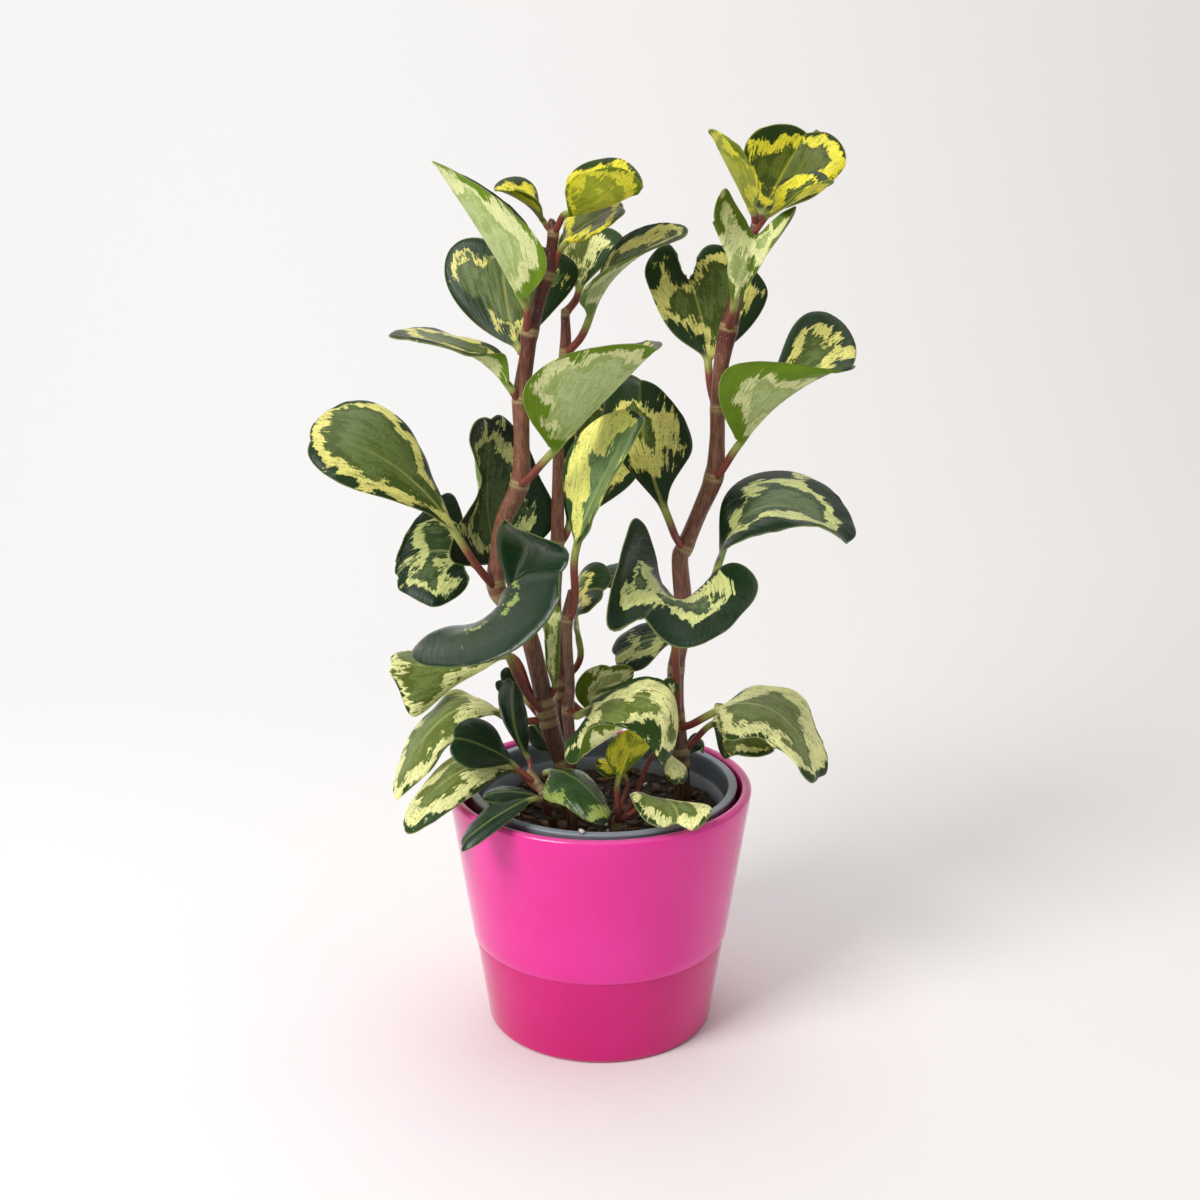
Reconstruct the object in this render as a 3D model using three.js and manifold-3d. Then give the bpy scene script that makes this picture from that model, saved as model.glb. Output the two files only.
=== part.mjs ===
// Variegated baby rubber plant in a glazed pot.
// Millimetres, +Z up, origin at the centre of the pot's underside, -Y towards the viewer.
import * as THREE from "three";
import { mergeVertices } from "three/addons/utils/BufferGeometryUtils.js";
import Module from "manifold-3d";

// Pot: a tapered glazed pot with a narrower foot band and an even wall.
const POT_HEIGHT = 112;
const POT_RIM_RADIUS = 67.5;
const POT_STEP_HEIGHT = 41.5;
const POT_STEP_RADIUS = 57.6;
const POT_STEP_DEPTH = 0.9;
const POT_FOOT_RADIUS = 51.2;
const POT_WALL = 4.5;
const POT_FLOOR = 6;
const POT_EDGE_ROUND = 2.4;
const POT_SEGMENTS = 48;

// Liner: a thin nursery pot standing inside, set a little to the back right.
const LINER_TOP = 111.4;
const LINER_RIM_RADIUS = 60;
const LINER_RIM_WIDTH = 4;
const LINER_RIM_DEPTH = 7;
const LINER_LEDGE_HEIGHT = 101;
const LINER_LEDGE_RADIUS = 53.8;
const LINER_FOOT_RADIUS = 43;
const LINER_WALL = 1.4;
const LINER_SHIFT = [1.2, 1.2];

// Soil fills the liner up to here, and each stem stands in a plain hole in it.
const SOIL_TOP = 92;
const STEM_DEPTH = 20;
const GAP = 0.3;

// Leaf blades: thickness at the rib and at the margin, and the petiole's usual radius.
const BLADE_THICKNESS = 1.2;
const MARGIN_THICKNESS = 0.8;
const PETIOLE_RADIUS = 1.7;
const PETIOLE_RINGS = 5;
const TIP_SWEEP = THREE.MathUtils.degToRad(65);
const NOTCH_DEPTH = 2;
const STEM_SIDES = 8;

const COLOURS = {
  pot: [0xdb3f96, 0.18],
  liner: [0x7c8187, 0.6],
  soil: [0x3a2a1e, 0.95],
  stem: [0x6b4030, 0.75],
  variegated: [0x4f6b3a, 0.35],
  dark: [0x1f3f25, 0.3],
  young: [0xb9b640, 0.35],
  underside: [0x98a978, 0.6],
};

const wasm = await Module();
wasm.setup();
const plant = new THREE.Group();

function addPiece(name, geometry, kind) {
  const [color, roughness] = COLOURS[kind];
  const material = new THREE.MeshStandardMaterial({ color, roughness, metalness: 0 });
  const mesh = new THREE.Mesh(geometry, material);
  mesh.name = name;
  plant.add(mesh);
}

// Turned pieces: a profile of [radius, height] points about the vertical axis.
function turned(profile, segments, shift = [0, 0]) {
  const points = profile.map(([radius, height]) => new THREE.Vector2(radius, height));
  const geometry = new THREE.LatheGeometry(points, segments);
  geometry.rotateX(Math.PI / 2);
  geometry.translate(shift[0], shift[1], 0);
  return geometry;
}

// A quarter round from one profile point to another about a centre.
function round(centre, radius, fromDegrees, toDegrees, steps) {
  return Array.from({ length: steps + 1 }, (_, i) => {
    const angle = THREE.MathUtils.degToRad(fromDegrees + ((toDegrees - fromDegrees) * i) / steps);
    return [centre[0] + radius * Math.cos(angle), centre[1] + radius * Math.sin(angle)];
  });
}

function potProfile() {
  const rim = POT_WALL / 2;
  const edge = POT_EDGE_ROUND;
  return [
    [0, 0],
    ...round([POT_FOOT_RADIUS - edge, edge], edge, -90, -5, 3),
    [POT_STEP_RADIUS - POT_STEP_DEPTH, POT_STEP_HEIGHT],
    [POT_STEP_RADIUS, POT_STEP_HEIGHT + 1],
    ...round([POT_RIM_RADIUS - rim, POT_HEIGHT - rim], rim, 0, 180, 5),
    [POT_STEP_RADIUS - POT_WALL, POT_STEP_HEIGHT],
    [POT_FOOT_RADIUS - POT_WALL, POT_FLOOR],
    [0, POT_FLOOR],
  ];
}

function linerProfile() {
  const floor = POT_FLOOR + GAP;
  const neck = LINER_RIM_RADIUS - LINER_RIM_WIDTH + LINER_WALL;
  return [
    [0, floor],
    [LINER_FOOT_RADIUS, floor],
    [LINER_LEDGE_RADIUS + LINER_WALL, LINER_LEDGE_HEIGHT - LINER_WALL],
    [neck, LINER_TOP - LINER_RIM_DEPTH],
    [LINER_RIM_RADIUS - 0.6, LINER_TOP - LINER_RIM_DEPTH + 1],
    [LINER_RIM_RADIUS, LINER_TOP - 1.2],
    [LINER_RIM_RADIUS - 0.8, LINER_TOP],
    [LINER_RIM_RADIUS - LINER_RIM_WIDTH + 0.6, LINER_TOP],
    [LINER_RIM_RADIUS - LINER_RIM_WIDTH, LINER_TOP - 0.8],
    [LINER_LEDGE_RADIUS + 1, LINER_LEDGE_HEIGHT + 0.4],
    [LINER_LEDGE_RADIUS, LINER_LEDGE_HEIGHT],
    [LINER_FOOT_RADIUS - LINER_WALL, floor + LINER_WALL],
    [0, floor + LINER_WALL],
  ];
}

// The liner's inner wall is a straight cone below its ledge.
function linerInnerRadius(height) {
  const floor = POT_FLOOR + GAP + LINER_WALL;
  const part = (height - floor) / (LINER_LEDGE_HEIGHT - floor);
  return THREE.MathUtils.lerp(LINER_FOOT_RADIUS - LINER_WALL, LINER_LEDGE_RADIUS, part);
}

// Stems: rows of [x, y, z, radius] from the soil up, thicker at each leaf joint.
const STEMS = {
  stem_left: [
    [-13, 6, 93, 4.6], [-15, 8, 114, 4.4], [-20, 8, 126, 4.3], [-24, 8, 142, 4.7],
    [-27, 7, 159, 4.1], [-32, 5, 180, 4.0], [-40, 4, 192, 3.9], [-45, 3, 201, 4.3],
    [-44, 3, 215, 3.8], [-41, 2, 231, 3.7], [-34, 1, 247, 4.3], [-33, 0, 266, 3.5],
    [-33, 0, 283, 3.7], [-30, 0, 303, 3.3], [-29, 0, 311, 3.8], [-25, 1, 324, 2.9],
    [-22, 1, 334, 3.1], [-20, 2, 344, 2.3], [-19, 2, 352, 2.3], [-20, 2, 356, 1.3],
  ],
  stem_thin: [
    [-12, -12, 93, 2.6], [-13, -12, 133, 2.5], [-14, -12, 150, 2.8], [-13, -12, 160, 2.3],
    [-14, -12, 180, 2.2], [-14, -12, 191, 2.6], [-12, -12, 203, 1.8],
  ],
  stem_back: [
    [-18, 26, 93, 3.2], [-18, 26, 134, 3.0], [-18, 26, 147, 3.4], [-19, 26, 167, 2.9],
    [-20, 26, 188, 2.8], [-19, 27, 214, 3.0], [-18, 28, 261, 2.6], [-15, 29, 299, 2.7],
    [-15, 29, 317, 1.8],
  ],
  stem_right: [
    [38, 14, 93, 4.0], [36, 14, 121, 4.1], [34, 14, 140, 3.9], [34, 14, 160, 3.9],
    [36, 14, 173, 3.7], [37, 14, 187, 4.0], [35, 13, 210, 3.8], [37, 13, 216, 4.0],
    [43, 11, 232, 3.7], [49, 10, 248, 4.1], [50, 9, 264, 3.4], [50, 9, 278, 3.4],
    [51, 8, 296, 3.4], [54, 8, 312, 3.8], [56, 8, 323, 2.9], [58, 9, 335, 2.6],
    [62, 10, 346, 2.4], [65, 11, 356, 1.8],
  ],
  shoot_left: [
    [-20, -17, 93, 2.2], [-22, -21, 108, 2.2], [-26, -18, 116, 2.1], [-30, -16, 121, 1.8],
    [-31, -16, 123, 1.3],
  ],
  shoot_front: [
    [7, -34, 93, 2.5], [7, -34, 103, 2.3], [7, -34, 109, 1.5],
  ],
};

// Leaves: each grows at a height on its stem. The rib runs from base through mid to tip,
// and left and right are the margin's widest points, seen with the upper face up and the
// tip ahead. Shoulder points shape the margin near the tip and heel points near the base.
const LEAVES = [
  // Crown of the left stem.
  { name: "leaf_crown_left_large", stem: "stem_left", height: 311, kind: "variegated",
    base: [-31, -8, 324], mid: [-46, -14, 350], tip: [-66, -12, 380],
    left: [-23, -30, 349], right: [-30, 14, 354], notch: 0 },
  { name: "leaf_crown_left_small", stem: "stem_left", height: 351, kind: "young",
    base: [-23, 8, 355], mid: [-31, 8, 363], tip: [-44, 8, 369],
    left: [-26, -7, 366], right: [-29, 24, 371], notch: 1, petiole: 1.2 },
  { name: "leaf_crown_middle", stem: "stem_left", height: 352, kind: "young",
    base: [-13, -4, 359], mid: [1, -14, 362], tip: [16, -20, 369],
    left: [2, 4, 381], right: [-1, -28, 377], petiole: 1.4, crease: 0.1,
    leftShoulder: [14, -8, 377], leftHeel: [-14, 4, 372],
    rightShoulder: [12, -26, 376], rightHeel: [-13, -14, 370] },
  { name: "leaf_crown_inner", stem: "stem_left", height: 334, kind: "young",
    base: [-15, 2, 346], mid: [-4, 4, 355], tip: [11, 4, 362],
    left: [-10, 20, 361], right: [-1, -14, 353], petiole: 1.4 },
  { name: "leaf_crown_back", stem: "stem_left", height: 311, kind: "variegated",
    base: [-34, 13, 302], mid: [-40, 24, 321], tip: [-42, 33, 346],
    left: [-67, 32, 333], right: [-9, 30, 333], taper: 1.4 },
  // Upper and middle leaves of the left stem.
  { name: "leaf_upper_left", stem: "stem_left", height: 283, kind: "variegated",
    base: [-37, -4, 288], mid: [-57, -4, 304], tip: [-88, 0, 310],
    left: [-54, -14, 304], right: [-62, 18, 308], notch: 0.5,
    leftHeel: [-39, -8, 303], rightHeel: [-42, 8, 303] },
  { name: "leaf_upper_front", stem: "stem_left", height: 247, kind: "variegated",
    base: [-20, -22, 264], mid: [2, -36, 289], tip: [23, -40, 311],
    left: [11, -6, 305], right: [-27, -54, 300], taper: 1.4 },
  { name: "leaf_left_wide", stem: "stem_left", height: 201, kind: "variegated",
    base: [-61, -8, 227], mid: [-89, -12, 259], tip: [-122, -12, 268],
    left: [-102, -26, 251], right: [-92, 14, 278], taper: 1.6 },
  { name: "leaf_left_upright", stem: "stem_left", height: 204, kind: "variegated",
    base: [-43, 15, 205], mid: [-50, 25, 232], tip: [-46, 18, 273],
    left: [-49, 6, 246], right: [-27, 30, 245], widest: 0.6, crease: 0.1,
    leftShoulder: [-54, 2, 267], leftHeel: [-64, 0, 215],
    rightShoulder: [-36, 30, 265], rightHeel: [-21, 30, 221] },
  { name: "leaf_left_round", stem: "stem_left", height: 197, kind: "variegated",
    base: [-57, 12, 210], mid: [-74, 12, 214], tip: [-90, 8, 203],
    left: [-72, -8, 195], right: [-81, 26, 228], crease: 0.2,
    leftShoulder: [-85, 0, 199], leftHeel: [-58, 2, 201],
    rightShoulder: [-86, 16, 216], rightHeel: [-64, 26, 236] },
  { name: "leaf_front_saddle", stem: "stem_left", height: 142, kind: "dark",
    base: [-41, -6, 176], mid: [-40, -24, 206], tip: [-15, -56, 223],
    left: [-37, -38, 240], right: [-76, -46, 184], taper: 1, crease: -0.9, rows: 9, columns: 6,
    leftShoulder: [-27, -54, 237], leftHeel: [-41, -12, 208],
    rightShoulder: [-36, -66, 193], rightHeel: [-63, -14, 188] },
  { name: "leaf_left_hanging", stem: "stem_left", height: 142, kind: "variegated",
    base: [-44, 10, 167], mid: [-68, 4, 165], tip: [-92, -4, 168],
    left: [-83, -8, 144], right: [-79, 22, 165],
    leftShoulder: [-88, -6, 157], leftHeel: [-66, 4, 153] },
  // The thin stem, the back stem and the leaves that stand among them.
  { name: "leaf_thin_stem_top", stem: "stem_thin", height: 191, kind: "young",
    base: [-10, -14, 222], mid: [0, -20, 250], tip: [17, -26, 282],
    left: [-13, -6, 263], right: [4, -42, 258] },
  { name: "leaf_middle_yellow", stem: "stem_back", height: 150, kind: "variegated",
    base: [-9, 16, 170], mid: [-9, 12, 192], tip: [3, 4, 199],
    left: [-7, 24, 205], right: [-8, -6, 192], petiole: 1.5 },
  { name: "leaf_inner_edge_on", stem: "stem_left", height: 147, kind: "underside",
    base: [-20, 4, 156], mid: [-21, -2, 174], tip: [-22, 20, 187],
    left: [-16, 6, 184], right: [-26, 12, 181], petiole: 1.4 },
  { name: "leaf_back_stem_tip", stem: "stem_back", height: 316, kind: "underside",
    base: [-9, 37, 325], mid: [-6, 46, 339], tip: [0, 51, 352],
    left: [-17, 44, 346], right: [9, 43, 344], rows: 6 },
  { name: "leaf_back_stem_top", stem: "stem_back", height: 299, kind: "variegated",
    base: [-5, 22, 313], mid: [10, 18, 336], tip: [37, 8, 351],
    left: [6, 30, 345], right: [-6, 2, 330], taper: 1.3 },
  { name: "leaf_back_stem_middle", stem: "stem_back", height: 214, kind: "variegated",
    base: [-14, 29, 221], mid: [-4, 34, 246], tip: [10, 40, 274],
    left: [-17, 40, 267], right: [18, 36, 245], taper: 1.6 },
  // Crown of the right stem.
  { name: "leaf_right_crown_left", stem: "stem_right", height: 355, kind: "young",
    base: [63, 7, 359], mid: [53, -2, 375], tip: [43, -6, 393],
    left: [61, -22, 377], right: [58, 14, 383] },
  { name: "leaf_right_crown_right", stem: "stem_right", height: 355, kind: "young",
    base: [67, 16, 357], mid: [77, 30, 374], tip: [88, 34, 392],
    left: [62, 26, 387], right: [102, 22, 378],
    rightShoulder: [99, 28, 388], rightHeel: [90, 24, 365] },
  { name: "leaf_right_crown_small", stem: "stem_right", height: 351, kind: "young",
    base: [69, 4, 358], mid: [78, -8, 364], tip: [92, -12, 372],
    left: [79, 2, 374], right: [79, -20, 369], petiole: 1.2, rows: 6,
    leftShoulder: [88, -2, 376], leftHeel: [72, 4, 370] },
  { name: "leaf_right_crown_front", stem: "stem_right", height: 312, kind: "underside",
    base: [55, -6, 323], mid: [58, -16, 341], tip: [63, -6, 350],
    left: [80, -10, 361], right: [44, -20, 362], taper: 1.4,
    leftShoulder: [71, -8, 357], rightShoulder: [52, -12, 366], rightHeel: [50, -14, 347] },
  // Upper and middle leaves of the right stem.
  { name: "leaf_right_back", stem: "stem_right", height: 278, kind: "variegated",
    base: [46, 16, 296], mid: [43, 24, 315], tip: [37, 28, 332],
    left: [18, 26, 335], right: [72, 30, 328], taper: 1.4,
    leftShoulder: [30, 32, 345], rightShoulder: [49, 32, 345], leftHeel: [29, 20, 311] },
  { name: "leaf_right_upper", stem: "stem_right", height: 248, kind: "variegated",
    base: [58, 0, 263], mid: [79, -6, 286], tip: [106, -6, 299],
    left: [86, 25, 315], right: [54, -25, 303], taper: 1.4, rightShoulder: [91, -14, 298] },
  { name: "leaf_right_lower", stem: "stem_right", height: 187, kind: "variegated",
    base: [50, -2, 209], mid: [70, -6, 238], tip: [105, -22, 226],
    left: [87, 22, 248], right: [76, -26, 233], crease: 0.1,
    leftShoulder: [106, 0, 236], leftHeel: [53, 10, 239],
    rightShoulder: [92, -32, 236], rightHeel: [54, -22, 226] },
  { name: "leaf_right_inner", stem: "stem_right", height: 216, kind: "variegated",
    base: [28, -2, 235], mid: [19, 4, 264], tip: [17, 8, 292],
    left: [1, 18, 269], right: [40, 10, 264], taper: 1.8 },
  { name: "leaf_right_saddle", stem: "stem_right", height: 138, kind: "variegated",
    base: [32, -14, 189], mid: [28, -36, 207], tip: [17, -62, 205],
    left: [63, -52, 214], right: [13, -46, 242], crease: 0, rows: 9, columns: 6,
    leftShoulder: [39, -66, 196], leftHeel: [49, -30, 219],
    rightShoulder: [3, -64, 207], rightHeel: [24, -28, 221] },
  { name: "leaf_right_dark", stem: "stem_right", height: 187, kind: "dark",
    base: [33, 22, 189], mid: [15, 28, 198], tip: [-2, 30, 196],
    left: [16, 20, 191], right: [14, 36, 203] },
  // Leaves round the foot of the plant, left side.
  { name: "leaf_base_left_hanging", stem: "stem_left", height: 138, kind: "underside",
    base: [-43, 4, 141], mid: [-67, -8, 145], tip: [-91, -22, 113],
    left: [-66, -24, 136], right: [-74, 12, 145], wave: 1.5 },
  { name: "leaf_base_left_dark", stem: "shoot_left", height: 119, kind: "dark",
    base: [-38, -18, 127], mid: [-50, -26, 138], tip: [-63, -34, 145],
    left: [-55, -40, 134], right: [-50, -14, 146], petiole: 1.2, rows: 6 },
  { name: "leaf_base_left_upright", stem: "shoot_left", height: 122, kind: "dark",
    base: [-32, -13, 129], mid: [-37, -18, 146], tip: [-37, -22, 167],
    left: [-44, -16, 152], right: [-31, -14, 147], petiole: 1.1, rows: 6 },
  { name: "leaf_base_left_bud", stem: "stem_left", height: 136, kind: "dark",
    base: [-34, 14, 145], mid: [-41, 18, 150], tip: [-46, 20, 154],
    left: [-45, 16, 148], right: [-40, 22, 157], petiole: 1.2, rows: 5 },
  { name: "leaf_base_rim_left", stem: "shoot_left", height: 115, kind: "underside",
    base: [-36, -10, 120], mid: [-58, -28, 128], tip: [-84, -46, 108],
    left: [-56, -43, 121], right: [-65, -12, 128], petiole: 1.3 },
  { name: "leaf_base_front_left", stem: "shoot_left", height: 105, kind: "dark",
    base: [-29, -44, 121], mid: [-43, -58, 119], tip: [-58, -66, 109],
    left: [-45, -66, 115], right: [-50, -50, 118], petiole: 1.2, taper: 0.9, rows: 6 },
  { name: "leaf_base_front_small", stem: "shoot_left", height: 111, kind: "dark",
    base: [-27, -30, 116], mid: [-37, -36, 121], tip: [-50, -42, 122],
    left: [-40, -44, 120], right: [-40, -28, 121], petiole: 1.1, rows: 5 },
  { name: "leaf_base_front_dark", stem: "stem_left", height: 110, kind: "dark",
    base: [-22, -20, 124], mid: [-9, -36, 126], tip: [5, -50, 114],
    left: [-4, -26, 124], right: [-14, -48, 120], petiole: 1.4,
    rightHeel: [-25, -34, 119] },
  // Leaves round the foot of the plant, middle and right side.
  { name: "leaf_base_middle_folded", stem: "stem_thin", height: 150, kind: "underside",
    base: [-9, -20, 150], mid: [21, -46, 166], tip: [27, -56, 141],
    left: [14, -28, 170], right: [-4, -62, 141], widest: 0.42, crease: 0.1, rows: 9, columns: 6,
    leftShoulder: [32, -40, 149], leftHeel: [0, -22, 161],
    rightShoulder: [16, -60, 155], rightHeel: [-15, -40, 143] },
  { name: "leaf_base_drooping", stem: "shoot_front", height: 105, kind: "underside",
    base: [28, -20, 133], mid: [32, -28, 130], tip: [34, -34, 123],
    left: [38, -22, 126], right: [27, -28, 127], petiole: 1, rows: 5 },
  { name: "leaf_base_front_right", stem: "shoot_front", height: 107, kind: "young",
    base: [22, -34, 117], mid: [30, -52, 122], tip: [32, -64, 117],
    left: [46, -58, 123], right: [13, -52, 127], petiole: 1.1, crease: 0,
    leftShoulder: [42, -66, 120], rightShoulder: [20, -64, 120] },
  { name: "leaf_base_middle_pale", stem: "stem_back", height: 143, kind: "underside",
    base: [-5, 10, 142], mid: [-1, 4, 154], tip: [5, -2, 168],
    left: [14, 8, 158], right: [-10, 2, 158], rows: 6 },
  { name: "leaf_middle_right_flat", stem: "stem_right", height: 160, kind: "variegated",
    base: [34, 22, 171], mid: [22, 27, 169], tip: [5, 28, 161],
    left: [18, 14, 160], right: [18, 40, 173], rows: 6 },
  { name: "leaf_base_stem_young", stem: "stem_right", height: 134, kind: "underside",
    base: [29, 6, 143], mid: [28, 0, 153], tip: [27, -2, 161],
    left: [21, 2, 157], right: [35, -2, 158], widest: 0.75, petiole: 1.2, rows: 5 },
  { name: "leaf_base_right_large", stem: "stem_right", height: 132, kind: "underside",
    base: [49, -4, 145], mid: [75, -16, 150], tip: [94, -34, 125],
    left: [89, 8, 149], right: [71, -36, 146], wave: 1.5, crease: 0.1, rows: 9, columns: 6,
    leftShoulder: [98, -16, 133], leftHeel: [68, 8, 154],
    rightShoulder: [83, -44, 136], rightHeel: [54, -30, 143] },
  { name: "leaf_base_right_under", stem: "stem_right", height: 121, kind: "underside",
    base: [50, 12, 134], mid: [62, 4, 138], tip: [79, -6, 132],
    left: [65, 17, 139], right: [60, -14, 130], petiole: 1.5,
    leftHeel: [52, 17, 143], rightHeel: [53, -5, 126] },
  { name: "leaf_base_centre_young", stem: "shoot_front", height: 107, kind: "young",
    base: [8, -36, 128], mid: [12, -34, 139], tip: [17, -30, 148],
    left: [21, -30, 140], right: [3, -34, 140], petiole: 1.2, rows: 5 },
  { name: "leaf_base_centre_tiny", stem: "shoot_front", height: 108, kind: "young",
    base: [9, -24, 125], mid: [3, -22, 127], tip: [-3, -20, 127],
    left: [3, -26, 124], right: [3, -16, 129], petiole: 1, rows: 5 },
  { name: "leaf_base_back_dark", stem: "stem_left", height: 118, kind: "dark",
    base: [-20, 18, 120], mid: [-26, 20, 125], tip: [-31, 22, 132],
    left: [-31, 18, 122], right: [-24, 24, 131], petiole: 1.2, rows: 5 },
  { name: "leaf_base_back_right", stem: "stem_right", height: 115, kind: "dark",
    base: [40, 20, 117], mid: [43, 22, 121], tip: [46, 20, 125],
    left: [41, 24, 123], right: [47, 14, 120], petiole: 1.1, rows: 5 },
];

const vector = (point) => new THREE.Vector3(point[0], point[1], point[2]);
const clamp = THREE.MathUtils.clamp;
const blend = THREE.MathUtils.lerp;
const plus = (a, b, scale = 1) => a.clone().addScaledVector(b, scale);
const across = (v, axis) => v.clone().addScaledVector(axis, -v.dot(axis)).normalize();

// A closed solid from rings that all hold the same number of points: each ring has an
// upper row from left to right and a lower row under it.
function loftedSolid(rings) {
  const columns = rings[0].upper.length - 1;
  const positions = [];
  for (const ring of rings) {
    for (const point of [...ring.upper, ...ring.lower]) {
      positions.push(point.x, point.y, point.z);
    }
  }
  const stride = 2 * (columns + 1);
  const up = (i, j) => i * stride + j;
  const low = (i, j) => i * stride + columns + 1 + j;
  const index = [];
  for (let i = 0; i + 1 < rings.length; i += 1) {
    for (let j = 0; j < columns; j += 1) {
      // Both faces use the same diagonal, so they stay one thickness apart.
      const quad = [[i, j], [i, j + 1], [i + 1, j + 1], [i + 1, j]];
      const corners = j < columns / 2 ? [0, 1, 2, 0, 2, 3] : [0, 1, 3, 1, 2, 3];
      const upper = corners.map((k) => up(...quad[k]));
      const lower = corners.map((k) => low(...quad[k])).reverse();
      index.push(...upper, ...lower);
    }
    index.push(up(i, 0), up(i + 1, 0), low(i + 1, 0), up(i, 0), low(i + 1, 0), low(i, 0));
    const j = columns;
    index.push(up(i, j), low(i + 1, j), up(i + 1, j), up(i, j), low(i, j), low(i + 1, j));
  }
  const last = rings.length - 1;
  for (let j = 0; j < columns; j += 1) {
    index.push(up(0, j), low(0, j + 1), up(0, j + 1), up(0, j), low(0, j), low(0, j + 1));
    index.push(up(last, j), up(last, j + 1), low(last, j + 1));
    index.push(up(last, j), low(last, j + 1), low(last, j));
  }
  const geometry = new THREE.BufferGeometry();
  geometry.setAttribute("position", new THREE.Float32BufferAttribute(positions, 3));
  geometry.setIndex(index);
  return geometry;
}

// A round section as an upper and a lower row, with side pointing right and top up.
function roundRing(centre, side, top, radius, columns) {
  const upper = [];
  const lower = [];
  for (let j = 0; j <= columns; j += 1) {
    const angle = (Math.PI * (j + 0.5)) / (columns + 1);
    const sideways = -Math.cos(angle) * radius;
    const upwards = Math.sin(angle) * radius;
    upper.push(plus(plus(centre, side, sideways), top, upwards));
    lower.push(plus(plus(centre, side, sideways), top, -upwards));
  }
  return { upper, lower };
}

// A stem is a round tube through its rows, with its foot standing straight in the soil.
function stemSolid(rows) {
  const [footX, footY, , footRadius] = rows[0];
  const allRows = [[footX, footY, SOIL_TOP - STEM_DEPTH, footRadius], ...rows];
  const centres = allRows.map(vector);
  let side = new THREE.Vector3(1, 0, 0);
  const rings = centres.map((centre, i) => {
    const before = centres[Math.max(i - 1, 0)];
    const after = centres[Math.min(i + 1, centres.length - 1)];
    const along = i < 2 ? new THREE.Vector3(0, 0, 1) : plus(after, before, -1).normalize();
    side = across(side, along);
    const top = new THREE.Vector3().crossVectors(side, along);
    return roundRing(centre, side, top, allRows[i][3], STEM_SIDES / 2 - 1);
  });
  return loftedSolid(rings);
}

// The stem's centre, direction and radius at a height.
function stemAt(rows, height) {
  const upper = Math.max(1, rows.findIndex((row) => row[2] >= height));
  const low = rows[upper - 1];
  const high = rows[upper];
  const part = (height - low[2]) / (high[2] - low[2]);
  const centre = vector(low).lerp(vector(high), part);
  const along = plus(vector(high), vector(low), -1).normalize();
  return { centre, along, radius: blend(low[3], high[3], part) };
}

// Half width of a blade along its rib, as a share of its widest: an eased wedge up to the
// widest place, and an ellipse from there to the tip.
function bladeWidth(t, widest, taper) {
  if (t < widest) return Math.sin((Math.PI / 2) * (t / widest)) ** taper;
  return Math.sqrt(Math.max(0, 1 - ((t - widest) / (1 - widest)) ** 2));
}

// The blade's middle surface as a function of t along the rib and q across it, -1 to 1.
function bladeSurface(leaf) {
  const { taper = 1.2, widest = 0.6, crease = 0.35, wave = 0, petiole = PETIOLE_RADIUS } = leaf;
  const base = vector(leaf.base);
  const tip = vector(leaf.tip);
  const control = vector(leaf.mid).multiplyScalar(2).addScaledVector(base, -0.5).addScaledVector(tip, -0.5);
  const side = plus(vector(leaf.right), vector(leaf.left), -1).normalize();

  function frameAt(t) {
    const point = base.clone().multiplyScalar((1 - t) ** 2);
    point.addScaledVector(control, 2 * t * (1 - t)).addScaledVector(tip, t * t);
    const along = plus(control, base, -1).multiplyScalar(1 - t);
    along.addScaledVector(plus(tip, control, -1), t).normalize();
    const right = across(side, along);
    const up = new THREE.Vector3().crossVectors(right, along);
    return { point, along, right, up };
  }
  const widestFrame = frameAt(widest);
  const local = (target) => {
    const d = plus(vector(target), widestFrame.point, -1);
    return new THREE.Vector3(d.dot(widestFrame.right), d.dot(widestFrame.up), d.dot(widestFrame.along));
  };
  const right = local(leaf.right);
  const left = local(leaf.left);
  const spread = plus(right, left, -1).multiplyScalar(0.5);
  const lift = plus(right, left).multiplyScalar(0.5);
  const rootShare = petiole / spread.length();
  const share = (t) => rootShare + (1 - rootShare) * bladeWidth(t, widest, taper);
  const nudges = [];

  function pull(t, centre) {
    const angle = (at) => Math.acos(clamp((at - widest) / (1 - widest), 0, 1));
    if (t <= centre) return Math.cos((Math.PI / 2) * clamp((centre - t) / Math.min(0.35, centre), 0, 1)) ** 2;
    if (centre > widest) return Math.sin((Math.PI / 2) * clamp(angle(t) / angle(centre), 0, 1)) ** 1.2;
    return Math.cos((Math.PI / 2) * clamp((t - centre) / 0.35, 0, 1)) ** 2;
  }

  function surface(t, q) {
    const frame = frameAt(t);
    const bend = crease * Math.abs(q) + (1 - crease) * q * q;
    const offset = spread.clone().multiplyScalar(q).addScaledVector(lift, bend);
    const ripple = wave * q * q * Math.sin(5 * Math.PI * t + Math.sign(q) * 1.3);
    const point = plus(frame.point, frame.right, offset.x);
    point.addScaledVector(frame.up, offset.y + ripple).addScaledVector(frame.along, offset.z);
    const reach = clamp(Math.abs(q) / share(t), 0, 1) ** 1.5;
    for (const nudge of nudges) {
      if (Math.sign(q) === nudge.sign) point.addScaledVector(nudge.move, pull(t, nudge.centre) * reach);
    }
    return point;
  }
  const SHOULDER = 0.86;
  const HEEL = 0.28;
  const found = [
    [leaf.rightShoulder, 1, SHOULDER], [leaf.leftShoulder, -1, SHOULDER],
    [leaf.rightHeel, 1, HEEL], [leaf.leftHeel, -1, HEEL],
  ].filter(([target]) => target).map(([target, sign, centre]) => {
    const move = plus(vector(target), surface(centre, sign * share(centre)), -1);
    return { sign, centre, move };
  });
  nudges.push(...found);
  return { surface, frameAt, share, widest };
}

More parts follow.
